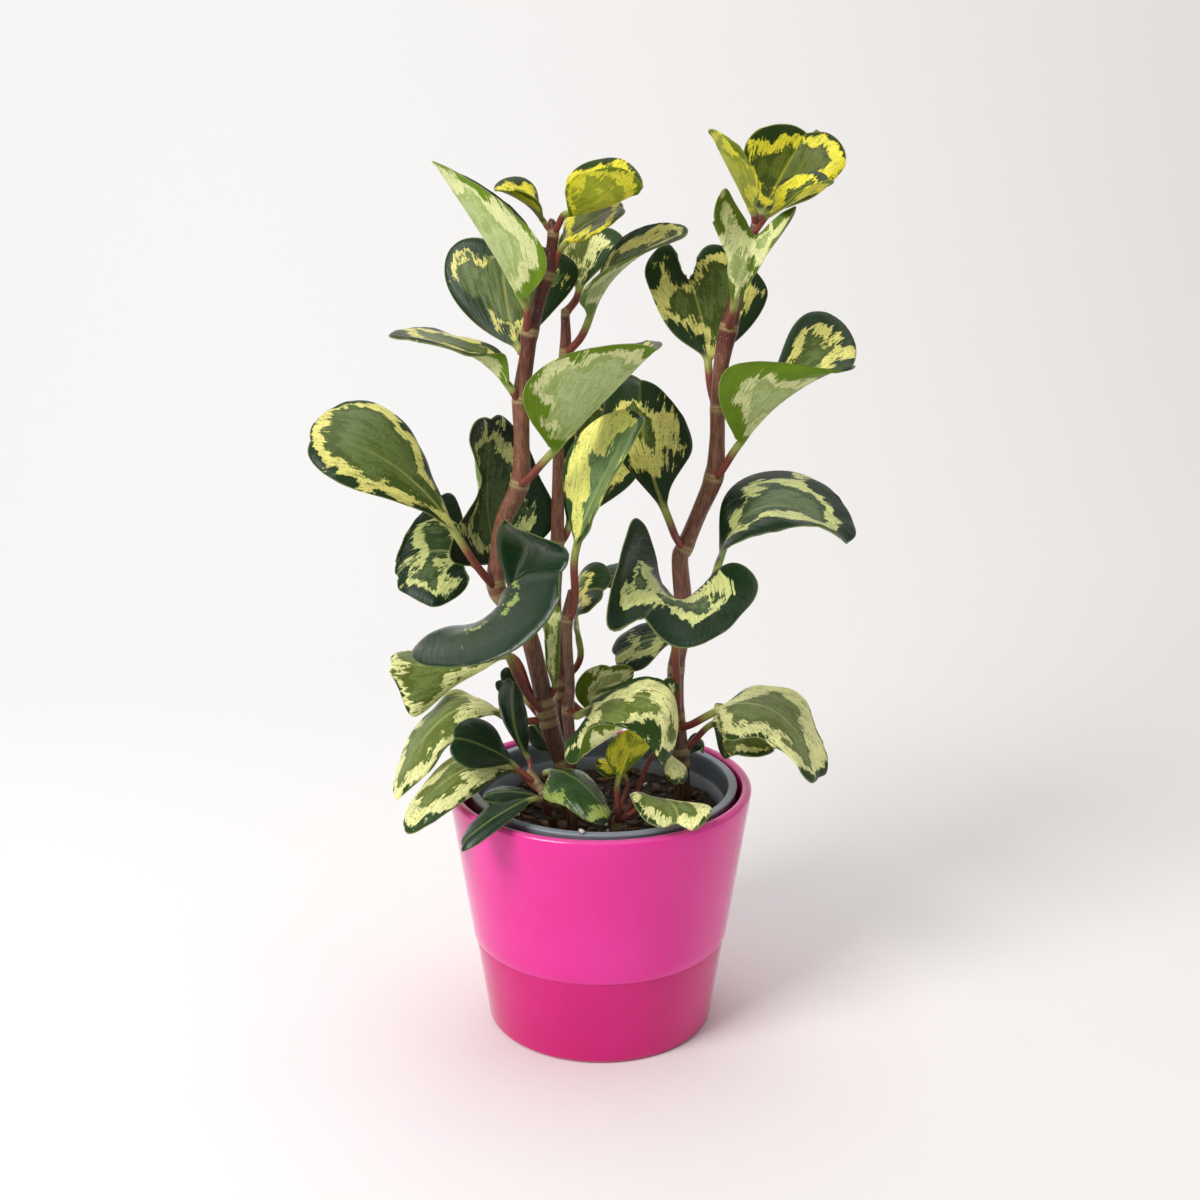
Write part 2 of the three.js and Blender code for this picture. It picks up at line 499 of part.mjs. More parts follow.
// A leaf is one solid: a round petiole that leaves the stem square to it and curves into
// the rib, and a thin blade with a rounded, slightly notched tip.
function leafSolid(leaf) {
  const { petiole = PETIOLE_RADIUS, notch = NOTCH_DEPTH, rows = 8, columns = 4 } = leaf;
  const { surface, frameAt, share, widest } = bladeSurface(leaf);
  const stem = stemAt(STEMS[leaf.stem], leaf.height);
  const base = vector(leaf.base);
  const outward = across(plus(base, stem.centre, -1), stem.along);
  const foot = plus(stem.centre, outward, stem.radius + GAP + 0.05);
  const reach = foot.distanceTo(base);
  const root = frameAt(0);
  const curve = new THREE.CubicBezierCurve3(
    foot, plus(foot, outward, reach * 0.38), plus(base, root.along, -reach * 0.42), base);
  const rings = [];
  let side = root.right;
  for (let i = PETIOLE_RINGS - 1; i >= 0; i -= 1) {
    const t = i / (PETIOLE_RINGS - 1);
    const along = i === 0 ? outward : curve.getTangent(t);
    side = across(side, along);
    const top = new THREE.Vector3().crossVectors(side, along);
    rings.unshift(roundRing(curve.getPoint(t), side, top, petiole, columns));
  }
  const edge = widest + (1 - widest) * Math.cos(TIP_SWEEP);
  const step = 0.01;
  for (let i = 1; i <= rows; i += 1) {
    const tau = i / rows;
    const ring = { upper: [], lower: [] };
    for (let j = 0; j <= columns; j += 1) {
      const sweep = ((2 * j) / columns - 1) * TIP_SWEEP;
      const t = tau * (widest + (1 - widest) * Math.cos(sweep));
      const q = (share(tau * edge) * Math.sin(sweep)) / Math.sin(TIP_SWEEP);
      const acrossBlade = plus(surface(t, q + step), surface(t, q - step), -1);
      const alongBlade = plus(surface(Math.min(t + step, 1), q), surface(Math.max(t - step, 0), q), -1);
      const normal = acrossBlade.cross(alongBlade).normalize();
      const dip = notch * clamp(1 - Math.abs(sweep / TIP_SWEEP) / 0.4, 0, 1) ** 1.5 * tau ** 8;
      const point = plus(surface(t, q), frameAt(t).along, -dip);
      const bare = blend(BLADE_THICKNESS, MARGIN_THICKNESS, Math.abs(sweep / TIP_SWEEP) ** 2);
      const swell = petiole * clamp(1 - tau * 3, 0, 1) * (1 - Math.abs(sweep / TIP_SWEEP));
      const half = bare / 2 + swell / 2;
      ring.upper.push(plus(point, normal, half));
      ring.lower.push(plus(point, normal, -half));
    }
    rings.push(ring);
  }
  return loftedSolid(rings);
}

// Boolean cuts work on solids that share their vertices.
function toManifold(geometry) {
  const bare = geometry.clone();
  bare.deleteAttribute("normal");
  bare.deleteAttribute("uv");
  const merged = mergeVertices(bare, 1e-4);
  return new wasm.Manifold(new wasm.Mesh({
    numProp: 3,
    vertProperties: new Float32Array(merged.attributes.position.array),
    triVerts: new Uint32Array(merged.index.array),
  }));
}

function fromManifold(solid) {
  const mesh = solid.getMesh();
  const geometry = new THREE.BufferGeometry();
  geometry.setAttribute("position", new THREE.BufferAttribute(mesh.vertProperties, 3));
  geometry.setIndex(new THREE.BufferAttribute(mesh.triVerts, 1));
  return geometry;
}

function soilSolid() {
  const floor = POT_FLOOR + 2 * GAP + LINER_WALL;
  const profile = [
    [0, floor],
    [linerInnerRadius(floor) - GAP, floor],
    [linerInnerRadius(SOIL_TOP) - GAP, SOIL_TOP],
    [0, SOIL_TOP],
  ];
  let solid = toManifold(turned(profile, POT_SEGMENTS, LINER_SHIFT));
  for (const rows of Object.values(STEMS)) {
    const [x, y, , radius] = rows[0];
    const bottom = SOIL_TOP - STEM_DEPTH - GAP;
    const top = SOIL_TOP + 5;
    const wide = radius + GAP;
    const hole = turned([[0, bottom], [wide, bottom], [wide, top], [0, top]], 16, [x, y]);
    solid = solid.subtract(toManifold(hole));
  }
  return fromManifold(solid);
}

addPiece("pot", turned(potProfile(), POT_SEGMENTS), "pot");
addPiece("liner", turned(linerProfile(), POT_SEGMENTS, LINER_SHIFT), "liner");
addPiece("soil", soilSolid(), "soil");
for (const [name, rows] of Object.entries(STEMS)) addPiece(name, stemSolid(rows), "stem");
for (const leaf of LEAVES) addPiece(leaf.name, leafSolid(leaf), leaf.kind);

export default plant;
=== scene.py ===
import bpy
import math
import random
import numpy as np
from mathutils import Matrix


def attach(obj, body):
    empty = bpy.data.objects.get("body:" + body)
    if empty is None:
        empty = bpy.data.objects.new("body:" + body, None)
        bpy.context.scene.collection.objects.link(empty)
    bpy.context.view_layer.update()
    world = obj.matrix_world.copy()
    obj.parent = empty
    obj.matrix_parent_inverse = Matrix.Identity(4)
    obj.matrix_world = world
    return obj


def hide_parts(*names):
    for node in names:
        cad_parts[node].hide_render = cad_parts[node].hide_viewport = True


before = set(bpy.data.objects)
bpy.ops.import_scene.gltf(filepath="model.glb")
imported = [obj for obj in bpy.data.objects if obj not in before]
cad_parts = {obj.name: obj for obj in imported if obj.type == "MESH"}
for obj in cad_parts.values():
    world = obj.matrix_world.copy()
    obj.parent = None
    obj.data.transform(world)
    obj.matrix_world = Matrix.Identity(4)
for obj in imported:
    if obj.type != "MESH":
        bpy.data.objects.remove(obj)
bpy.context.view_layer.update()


# Pot. A tapered, slip-cast ceramic pot with an even glossy pink glaze inside and out.
# Its foot band is set in a little below a fine step, and the rim is rounded over.
MM = 0.001
POT_HEIGHT = 112
POT_RIM_RADIUS = 67.5
POT_STEP_HEIGHT = 41.5
POT_STEP_RADIUS = 57.6
POT_FOOT_RADIUS = 51.2
POT_WALL = 4.5
POT_FLOOR = 6
POT_SEGMENTS = 144
HOLLOW_RADIUS = 40
HOLLOW_HEIGHT = 0.6
FOOT_ROUND = 2.6
STEP_DIP = 1
POT_PINK = (234, 38, 150)
# The foot band's deeper pink is painted shade; the glaze is one pink all over.
POT_BAND_SHADED = (208, 3, 114)


def linear(colour):
    """A screen colour of 0 to 255 as the linear values that shaders use."""
    parts = [c / 255 for c in colour]
    return (*[p / 12.92 if p <= 0.04045 else ((p + 0.055) / 1.055) ** 2.4 for p in parts], 1.0)


def shade(obj, material):
    """Smooth shading, one material, and a ride on the plant's only body."""
    obj.data.materials.clear()
    obj.data.materials.append(material)
    obj.data.polygons.foreach_set("use_smooth", [True] * len(obj.data.polygons))
    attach(obj, "root")


def mesh_piece(name, points, faces):
    """A mesh from points in millimetres."""
    mesh = bpy.data.meshes.new(name)
    mesh.from_pydata((np.asarray(points, float) * MM).tolist(), [], faces)
    mesh.validate()
    mesh.update()
    obj = bpy.data.objects.new(name, mesh)
    bpy.context.scene.collection.objects.link(obj)
    return obj


def ring_faces(rings, around, first=0):
    """Four-sided faces between each ring of points and the next."""
    at = lambda i, j: first + i * around + j % around
    return [(at(i, j), at(i, j + 1), at(i + 1, j + 1), at(i + 1, j))
            for i in range(rings - 1) for j in range(around)]


def turned(name, profile, shift=(0, 0)):
    """A profile of (radius, height) from axis to axis, turned about the vertical."""
    angles = np.arange(POT_SEGMENTS) / POT_SEGMENTS * 2 * math.pi
    points = [(*shift, profile[0][1])]
    for radius, height in profile[1:-1]:
        points += [(shift[0] + radius * x, shift[1] + radius * y, height)
                   for x, y in zip(np.cos(angles), np.sin(angles))]
    points.append((*shift, profile[-1][1]))
    end = len(points) - 1
    last = end - POT_SEGMENTS
    faces = [(0, 1 + (j + 1) % POT_SEGMENTS, 1 + j) for j in range(POT_SEGMENTS)]
    faces += ring_faces(len(profile) - 2, POT_SEGMENTS, 1)
    faces += [(end, last + j, last + (j + 1) % POT_SEGMENTS) for j in range(POT_SEGMENTS)]
    return mesh_piece(name, points, faces)


def arc(centre, radius, start, stop, steps):
    """Points of a round edge, angles in degrees."""
    turn = [math.radians(start + (stop - start) * i / steps) for i in range(steps + 1)]
    return [(centre[0] + radius * math.cos(a), centre[1] + radius * math.sin(a)) for a in turn]


def straight(start, stop, steps):
    """Inner points of a straight wall, so that its glaze has some mesh to shade."""
    return [(start[0] + (stop[0] - start[0]) * i / steps, start[1] + (stop[1] - start[1]) * i / steps)
            for i in range(1, steps)]


def new_material(name):
    """A material with its node tree and its Principled shader."""
    material = bpy.data.materials.new(name)
    material.use_nodes = True
    return material, material.node_tree, material.node_tree.nodes["Principled BSDF"]


def node(tree, kind, **values):
    """Adds a node and sets its properties and inputs; a socket value links."""
    made = tree.nodes.new(kind)
    inputs = values.pop("inputs", {})
    for key, value in values.items():
        setattr(made, key, value)
    for key, value in inputs.items():
        if isinstance(value, bpy.types.NodeSocket):
            tree.links.new(value, made.inputs[key])
        else:
            made.inputs[key].default_value = value
    return made


def maths(tree, operation, a, b=0.0, c=0.0):
    """One Math node."""
    return node(tree, "ShaderNodeMath", operation=operation, inputs={0: a, 1: b, 2: c}).outputs[0]


def times(tree, a, b):
    """A product."""
    return maths(tree, "MULTIPLY", a, b)


def scaled(tree, value, scale, shift):
    """A value scaled, then shifted."""
    return maths(tree, "MULTIPLY_ADD", value, scale, shift)


def split(tree, vector):
    """A vector's three parts."""
    return node(tree, "ShaderNodeSeparateXYZ", inputs={0: vector}).outputs


def object_place(tree):
    """Where a point lies on the object."""
    return node(tree, "ShaderNodeTexCoord").outputs["Object"]


def ramp(tree, value, low, high):
    """A smooth step from 0 at low to 1 at high."""
    made = node(tree, "ShaderNodeMapRange", interpolation_type="SMOOTHSTEP",
                inputs={"Value": value, "From Min": low, "From Max": high})
    return made.outputs["Result"]


def mix(tree, factor, a, b, mode="MIX"):
    """A colour mix."""
    made = node(tree, "ShaderNodeMix", data_type="RGBA", blend_type=mode)
    for index, value in ((0, factor), (6, a), (7, b)):
        if isinstance(value, bpy.types.NodeSocket):
            tree.links.new(value, made.inputs[index])
        else:
            made.inputs[index].default_value = value
    return made.outputs[2]


def tones(tree, factor, a, b):
    """A mix of two screen colours."""
    return mix(tree, factor, linear(a), linear(b))


def noise(tree, vector, scale, detail=2.0, rough=0.5):
    """Noise about 0.5."""
    made = node(tree, "ShaderNodeTexNoise",
                inputs={"Vector": vector, "Scale": scale, "Detail": detail, "Roughness": rough})
    return made.outputs[0]


def bump(tree, shader, height, strength, distance):
    """Relief on the shader's normal, its distance in millimetres."""
    made = node(tree, "ShaderNodeBump",
                inputs={"Height": height, "Strength": strength, "Distance": distance * MM})
    tree.links.new(made.outputs[0], shader.inputs["Normal"])


def pot_material():
    """Glossy pink glaze; painted shade deepens the foot band, a painted highlight pales the rim's top."""
    material, tree, shader = new_material("pot_glaze")
    place = object_place(tree)
    height = split(tree, place)["Z"]
    # Painted shade: below the step the foot band is mixed to a deeper pink.
    band = ramp(tree, height, (POT_STEP_HEIGHT + 0.2) * MM, (POT_STEP_HEIGHT - 0.4) * MM)
    mottle = noise(tree, place, 28.0, 3.0)
    pink = tones(tree, ramp(tree, mottle, 0.35, 0.7), POT_PINK, (238, 47, 158))
    deep = tones(tree, ramp(tree, mottle, 0.35, 0.7), POT_BAND_SHADED, (215, 9, 122))
    body = mix(tree, band, pink, deep)
    # Painted highlight: the rounded rim's top is mixed towards a paler pink.
    thin = ramp(tree, height, (POT_HEIGHT - 2.2) * MM, (POT_HEIGHT - 0.6) * MM)
    rim_highlight = times(tree, thin, 0.35)
    tree.links.new(mix(tree, rim_highlight, body, linear((246, 120, 184))), shader.inputs["Base Color"])
    flecks = noise(tree, place, 420.0, 2.0)
    rough = scaled(tree, flecks, 0.08, 0.1)
    tree.links.new(rough, shader.inputs["Roughness"])
    shader.inputs["Coat Weight"].default_value = 0.3
    shader.inputs["Specular IOR Level"].default_value = 0.3
    shader.inputs["Coat Roughness"].default_value = 0.06
    wave = noise(tree, place, 14.0, 1.0)
    bump(tree, shader, wave, 0.25, 1.2)
    return material


rim = POT_WALL / 2
inner_foot = POT_FOOT_RADIUS - POT_WALL
step_top = (POT_STEP_RADIUS, POT_STEP_HEIGHT + 0.8)
rim_low = (POT_RIM_RADIUS - 0.1, POT_HEIGHT - rim - 0.8)
pot_profile = [(0, HOLLOW_HEIGHT), (HOLLOW_RADIUS, HOLLOW_HEIGHT), (HOLLOW_RADIUS + 1, 0.05)]
pot_profile += arc((POT_FOOT_RADIUS - FOOT_ROUND, FOOT_ROUND), FOOT_ROUND - 0.05, -90, -5, 8)
pot_profile += straight((POT_FOOT_RADIUS, 3), (POT_STEP_RADIUS - 0.9, POT_STEP_HEIGHT - 0.6), 8)
pot_profile += [(POT_STEP_RADIUS - inset, POT_STEP_HEIGHT + rise) for inset, rise in
                ((STEP_DIP - 0.05, -0.6), (STEP_DIP, -0.1), (STEP_DIP - 0.25, 0.25), (0.2, 0.5))]
pot_profile += [step_top] + straight(step_top, rim_low, 14)
pot_profile += arc((POT_RIM_RADIUS - rim - 0.05, POT_HEIGHT - rim - 0.15), rim, 0, 180, 16)
pot_profile += straight((POT_RIM_RADIUS - POT_WALL, POT_HEIGHT - rim), (inner_foot, POT_FLOOR), 12)
pot_profile += [(inner_foot, POT_FLOOR + 0.4), (inner_foot - 0.8, POT_FLOOR), (0, POT_FLOOR)]
pot = turned("glazed_pot", pot_profile)
shade(pot, pot_material())
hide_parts("pot")


# Liner. A thin grey nursery pot, blow-formed in plastic, standing loose inside.
# It has a rolled rim band and an inner ledge that stacked pots sit on.
LINER_TOP = 111.4
LINER_RIM_RADIUS = 60
LINER_LEDGE_HEIGHT = 101
LINER_LEDGE_RADIUS = 53.8
LINER_FOOT_RADIUS = 43
LINER_WALL = 1.4
LINER_ROUND = 0.85
LINER_RIM_WIDTH = 4
LINER_SHIFT = (1.2, 1.2)
LINER_FLOOR = 6.3


def liner_material():
    """Grey plastic, slightly dusty low on the inside, with fine scuffs round it."""
    material, tree, shader = new_material("liner_plastic")
    place = object_place(tree)
    height = split(tree, place)["Z"]
    stretch = node(tree, "ShaderNodeMapping", inputs={"Vector": place, "Scale": (1, 1, 9)}).outputs[0]
    scuff = noise(tree, stretch, 160.0, 4.0, 0.65)
    grey = tones(tree, scuff, (88, 96, 106), (118, 126, 136))
    light = tones(tree, scuff, (128, 137, 147), (154, 162, 171))
    grey = mix(tree, ramp(tree, height, 108 * MM, 110.5 * MM), grey, light)
    dust = times(tree, ramp(tree, height, 104 * MM, 92 * MM), noise(tree, place, 90.0, 4.0))
    tree.links.new(mix(tree, dust, grey, linear((84, 72, 60))), shader.inputs["Base Color"])
    tree.links.new(scaled(tree, scuff, 0.25, 0.28), shader.inputs["Roughness"])
    bump(tree, shader, scuff, 0.12, 0.3)
    return material


foot_outer = (LINER_FOOT_RADIUS, LINER_FLOOR + 1)
foot_inner = LINER_FOOT_RADIUS - LINER_WALL
ledge_foot = (LINER_LEDGE_RADIUS + LINER_WALL, LINER_LEDGE_HEIGHT - LINER_WALL)
rim_outside = [(57.2, 104.6), (59.2, 105.2), (59.5, 106), (59.6, 109.8)]
rim_inside = [(55.7, 108), (55.2, 103)]
liner_profile = [(0, LINER_FLOOR), (LINER_FOOT_RADIUS - 1, LINER_FLOOR), foot_outer]
liner_profile += straight(foot_outer, ledge_foot, 10) + [ledge_foot] + rim_outside
rim_inner = LINER_RIM_RADIUS - LINER_RIM_WIDTH
for radius, start in ((LINER_RIM_RADIUS - LINER_ROUND, 0), (rim_inner + LINER_ROUND, 90)):
    liner_profile += arc((radius, LINER_TOP - LINER_ROUND), LINER_ROUND - 0.05, start, start + 90, 4)
liner_profile += rim_inside + [(LINER_LEDGE_RADIUS + inset, LINER_LEDGE_HEIGHT + rise)
                               for inset, rise in ((1.2, 0.7), (0.9, 0.2), (0, 0))]
ledge_under = (LINER_LEDGE_RADIUS - 0.1, LINER_LEDGE_HEIGHT - 0.6)
liner_profile += straight(ledge_under, (foot_inner, LINER_FLOOR + 2), 10)
liner_profile += [(foot_inner - 1, LINER_FLOOR + LINER_WALL), (0, LINER_FLOOR + LINER_WALL)]
liner = turned("nursery_liner", liner_profile, LINER_SHIFT)
shade(liner, liner_material())
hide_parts("liner")


# Soil. Dark peat potting mix, loose and uneven on top, that fills the liner.
# Bark chips, fibres and a few white perlite crumbs lie over it.
SOIL_TOP = 92
SOIL_FLOOR = 8.4
SOIL_WAIST = 60
SOIL_RELIEF = 1.1
SOIL_BANK = 4
SOIL_RINGS = 60
SOIL_SECTORS = 150
CHIP_COUNT = 620
PERLITE_COUNT = 26
STRAY_SEAT = (-7.4, -57.2, 112)


def soil_height(x, y):
    """The soil's lumpy top, a little higher towards the wall."""
    lumps = 0.55 * math.sin(x * 0.21 + 1.3) * math.cos(y * 0.17) + 0.3 * math.sin(x * 0.61 - y * 0.43)
    grain = 0.25 * math.sin(x * 1.9 + 2.1 * math.cos(y * 1.3)) + 0.2 * math.sin(y * 2.7 + x * 0.8)
    slope = max(0, math.hypot(x, y) - 30) / 20
    return SOIL_TOP + SOIL_RELIEF * (lumps + grain) + SOIL_BANK * min(1, slope) ** 1.5


def soil_radius(height):
    """The liner's inner wall, less a hair."""
    part = (height - LINER_FLOOR) / (LINER_LEDGE_HEIGHT - LINER_FLOOR)
    return LINER_FOOT_RADIUS - LINER_WALL + part * (LINER_LEDGE_RADIUS - LINER_FOOT_RADIUS + LINER_WALL) - 0.2


def soil_material():
    """Near-black peat with brown crumbs, matt."""
    material, tree, shader = new_material("soil_peat")
    place = object_place(tree)
    coarse = noise(tree, place, 240.0, 6.0, 0.7)
    fine = noise(tree, place, 1400.0, 4.0, 0.7)
    brown = tones(tree, ramp(tree, coarse, 0.38, 0.68), (20, 14, 11), (64, 47, 34))
    crumb = mix(tree, ramp(tree, fine, 0.55, 0.75), brown, linear((112, 88, 66)))
    tree.links.new(crumb, shader.inputs["Base Color"])
    shader.inputs["Roughness"].default_value = 0.95
    both = scaled(tree, fine, 0.5, coarse)
    bump(tree, shader, both, 0.9, 1.6)
    return material


def kept(tree, name, output="Fac"):
    """What the mesh keeps at each point under a name."""
    return node(tree, "ShaderNodeAttribute", attribute_name=name).outputs[output]


def chip_material():
    """Bark chips: each a brown of its own, ridged along the grain."""
    material, tree, shader = new_material("bark_chip")
    tone = kept(tree, "chip_tone")
    place = object_place(tree)
    grain = noise(tree, place, 900.0, 4.0, 0.7)
    dark = tones(tree, tone, (40, 27, 19), (122, 88, 60))
    tree.links.new(mix(tree, times(tree, grain, 0.5), dark, linear((60, 44, 32))),
                   shader.inputs["Base Color"])
    shader.inputs["Roughness"].default_value = 0.85
    bump(tree, shader, grain, 0.6, 0.5)
    return material


def perlite_material():
    """White, chalky, finely pitted."""
    material, tree, shader = new_material("perlite")
    place = object_place(tree)
    pits = noise(tree, place, 1800.0, 4.0, 0.7)
    tree.links.new(tones(tree, pits, (196, 190, 178), (240, 238, 230)),
                   shader.inputs["Base Color"])
    shader.inputs["Roughness"].default_value = 0.9
    bump(tree, shader, pits, 0.6, 0.3)
    return material


def crumbs(name, count, sizes, flat, draw, seats):
    """Many small angular lumps as one mesh, each a jittered eight-cornered block."""
    corners = np.array([(x, y, z) for z in (-1, 1) for y in (-1, 1) for x in (-1, 1)], float)
    sides = [(0, 2, 3, 1), (4, 5, 7, 6), (0, 1, 5, 4), (2, 6, 7, 3), (0, 4, 6, 2), (1, 3, 7, 5)]
    points = []
    faces = []
    tones = []
    for k in range(count):
        x, y, z = seats(draw)
        size = sizes[0] + (sizes[1] - sizes[0]) * draw.random() ** 2
        block = corners * np.array([size, size * draw.uniform(0.4, 0.8), size * flat])
        block *= np.array([[draw.uniform(0.6, 1.1) for _ in range(3)] for _ in range(8)])
        turn = draw.uniform(0, 2 * math.pi)
        tilt = draw.uniform(-0.5, 0.5)
        spin = np.array(Matrix.Rotation(turn, 3, "Z") @ Matrix.Rotation(tilt, 3, "X"))
        block = block @ spin.T + np.array([x, y, z + size * flat * 0.4])
        first = len(points)
        points.extend(block.tolist())
        faces += [tuple(first + c for c in side) for side in sides]
        tones += [draw.random()] * 8
    made = mesh_piece(name, points, faces)
    attribute = made.data.attributes.new("chip_tone", "FLOAT", "POINT")
    attribute.data.foreach_set("value", tones)
    return made


def soil_seat(draw):
    """A random place on the soil's top."""
    reach = 50 * math.sqrt(draw.random())
    angle = draw.uniform(0, 2 * math.pi)
    x = reach * math.cos(angle)
    y = reach * math.sin(angle)
    return LINER_SHIFT[0] + x, LINER_SHIFT[1] + y, soil_height(x, y)


def soil_mesh():
    """A lumpy top of many fine rings, straight sides and a flat foot."""
    angles = [2 * math.pi * j / SOIL_SECTORS for j in range(SOIL_SECTORS)]
    circle = lambda reach: [(reach * math.cos(angle), reach * math.sin(angle)) for angle in angles]
    reaches = [soil_radius(SOIL_TOP) * i / SOIL_RINGS for i in range(1, SOIL_RINGS + 1)]
    spots = [(x, y, soil_height(x, y)) for reach in reaches for x, y in circle(reach)]
    spots += [(x, y, height) for height in (SOIL_WAIST, SOIL_FLOOR) for x, y in circle(soil_radius(height))]
    spots = [(0, 0, soil_height(0, 0))] + spots + [(0, 0, SOIL_FLOOR)]
    points = [(LINER_SHIFT[0] + x, LINER_SHIFT[1] + y, z) for x, y, z in spots]
    end = len(points) - 1
    last = end - SOIL_SECTORS
    faces = [(0, 1 + j, 1 + (j + 1) % SOIL_SECTORS) for j in range(SOIL_SECTORS)]
    faces += [(a, d, c, b) for a, b, c, d in ring_faces(SOIL_RINGS + 2, SOIL_SECTORS, 1)]
    faces += [(end, last + (j + 1) % SOIL_SECTORS, last + j) for j in range(SOIL_SECTORS)]
    return mesh_piece("soil_mix", points, faces)


soil = soil_mesh()
shade(soil, soil_material())
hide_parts("soil")

chips = crumbs("bark_chips", CHIP_COUNT, (0.7, 3.4), 0.4, random.Random(11), soil_seat)
shade(chips, chip_material())
perlite = crumbs("perlite_crumbs", PERLITE_COUNT, (0.7, 1.4), 0.8, random.Random(5), soil_seat)
shade(perlite, perlite_material())
stray = crumbs("stray_perlite", 1, (1.3, 1.3), 0.7, random.Random(8), lambda draw: STRAY_SEAT)
shade(stray, perlite.data.materials[0])


# Stems. Round, fleshy and red-brown, woodier and greyer with age, paler at the joints.
# Four rise from the soil with two short shoots beside them, each one root-grown piece.
STEM_SIDES = 24
STEM_TURNS = np.arange(STEM_SIDES) / STEM_SIDES * 2 * math.pi
STEM_STEP = 1.2
STEM_DEPTH = 20
JOINT_SWELL = 0.09
JOINT_WIDTH = 2.6
SCAR_DIP = 0.03
SCAR_WIDTH = 0.7
STEMS = {
    "stem_left": [
        (-13, 6, 93, 4.6), (-15, 8, 114, 4.4), (-20, 8, 126, 4.3), (-24, 8, 142, 4.7),
        (-27, 7, 159, 4.1), (-32, 5, 180, 4.0), (-40, 4, 192, 3.9), (-45, 3, 201, 4.3),
        (-44, 3, 215, 3.8), (-41, 2, 231, 3.7), (-34, 1, 247, 4.3), (-33, 0, 266, 3.5),
        (-33, 0, 283, 3.7), (-30, 0, 303, 3.3), (-29, 0, 311, 3.8), (-25, 1, 324, 2.9),
        (-22, 1, 334, 3.1), (-20, 2, 344, 2.3), (-19, 2, 352, 2.3), (-20, 2, 356, 1.3)],
    "stem_thin": [
        (-12, -12, 93, 2.6), (-13, -12, 133, 2.5), (-14, -12, 150, 2.8), (-13, -12, 160, 2.3),
        (-14, -12, 180, 2.2), (-14, -12, 191, 2.6), (-12, -12, 203, 1.8)],
    "stem_back": [
        (-18, 26, 93, 3.2), (-18, 26, 134, 3.0), (-18, 26, 147, 3.4), (-19, 26, 167, 2.9),
        (-20, 26, 188, 2.8), (-19, 27, 214, 3.0), (-18, 28, 261, 2.6), (-15, 29, 299, 2.7),
        (-15, 29, 317, 1.8)],
    "stem_right": [
        (38, 14, 93, 4.0), (36, 14, 121, 4.1), (34, 14, 140, 3.9), (34, 14, 160, 3.9),
        (36, 14, 173, 3.7), (37, 14, 187, 4.0), (35, 13, 210, 3.8), (37, 13, 216, 4.0),
        (43, 11, 232, 3.7), (49, 10, 248, 4.1), (50, 9, 264, 3.4), (50, 9, 278, 3.4),
        (51, 8, 296, 3.4), (54, 8, 312, 3.8), (56, 8, 323, 2.9), (58, 9, 335, 2.6),
        (62, 10, 346, 2.4), (65, 11, 356, 1.8)],
    "shoot_left": [
        (-20, -17, 93, 2.2), (-22, -21, 108, 2.2), (-26, -18, 116, 2.1), (-30, -16, 121, 1.8),
        (-31, -16, 123, 1.3)],
    "shoot_front": [
        (7, -34, 93, 2.5), (7, -34, 103, 2.3), (7, -34, 109, 1.5)],
}
JOINTS = {
    "stem_left": (110, 118, 137, 142, 147, 197, 203, 247, 283, 311, 334, 351),
    "stem_thin": (150, 191),
    "stem_back": (144, 150, 214, 299, 316),
    "stem_right": (115, 121, 133, 138, 160, 187, 216, 248, 278, 312, 355),
    "shoot_left": (105, 111, 115, 119, 122),
    "shoot_front": (105, 108),
}


def unit(v):
    """Vectors of length one, along the last axis."""
    return v / np.maximum(np.linalg.norm(v, axis=-1, keepdims=True), 1e-9)


def square_to(v, axis):
    """The part of v that is square to an axis, of length one."""
    return unit(v - axis * np.sum(v * axis, axis=-1, keepdims=True))


def smooth_rows(rows):
    """A smooth curve through rows, sampled about every STEM_STEP millimetres."""
    rows = np.asarray(rows, float)
    ends = np.vstack([2 * rows[0] - rows[1], rows, 2 * rows[-1] - rows[-2]])
    found = []
    for k in range(1, len(ends) - 2):
        a, b, c, d = ends[k - 1:k + 3]
        count = max(2, int(np.linalg.norm((c - b)[:3]) / STEM_STEP))
        for t in np.arange(count) / count:
            found.append(0.5 * (2 * b + (c - a) * t + (2 * a - 5 * b + 4 * c - d) * t * t
                                + (3 * b - a - 3 * c + d) * t ** 3))
    found.append(rows[-1])
    return np.array(found)


def tube(centre, radii):
    """Rings of points along a stem's centres, carried on without a twist."""
    along = unit(np.gradient(centre, axis=0))
    side = np.array([1.0, 0, 0])
    rings = []
    for c, a, r in zip(centre, along, radii):
        side = square_to(side, a)
        top = np.cross(side, a)
        rings.append(c + r * (np.cos(STEM_TURNS)[:, None] * side + np.sin(STEM_TURNS)[:, None] * top))
    return np.array(rings)


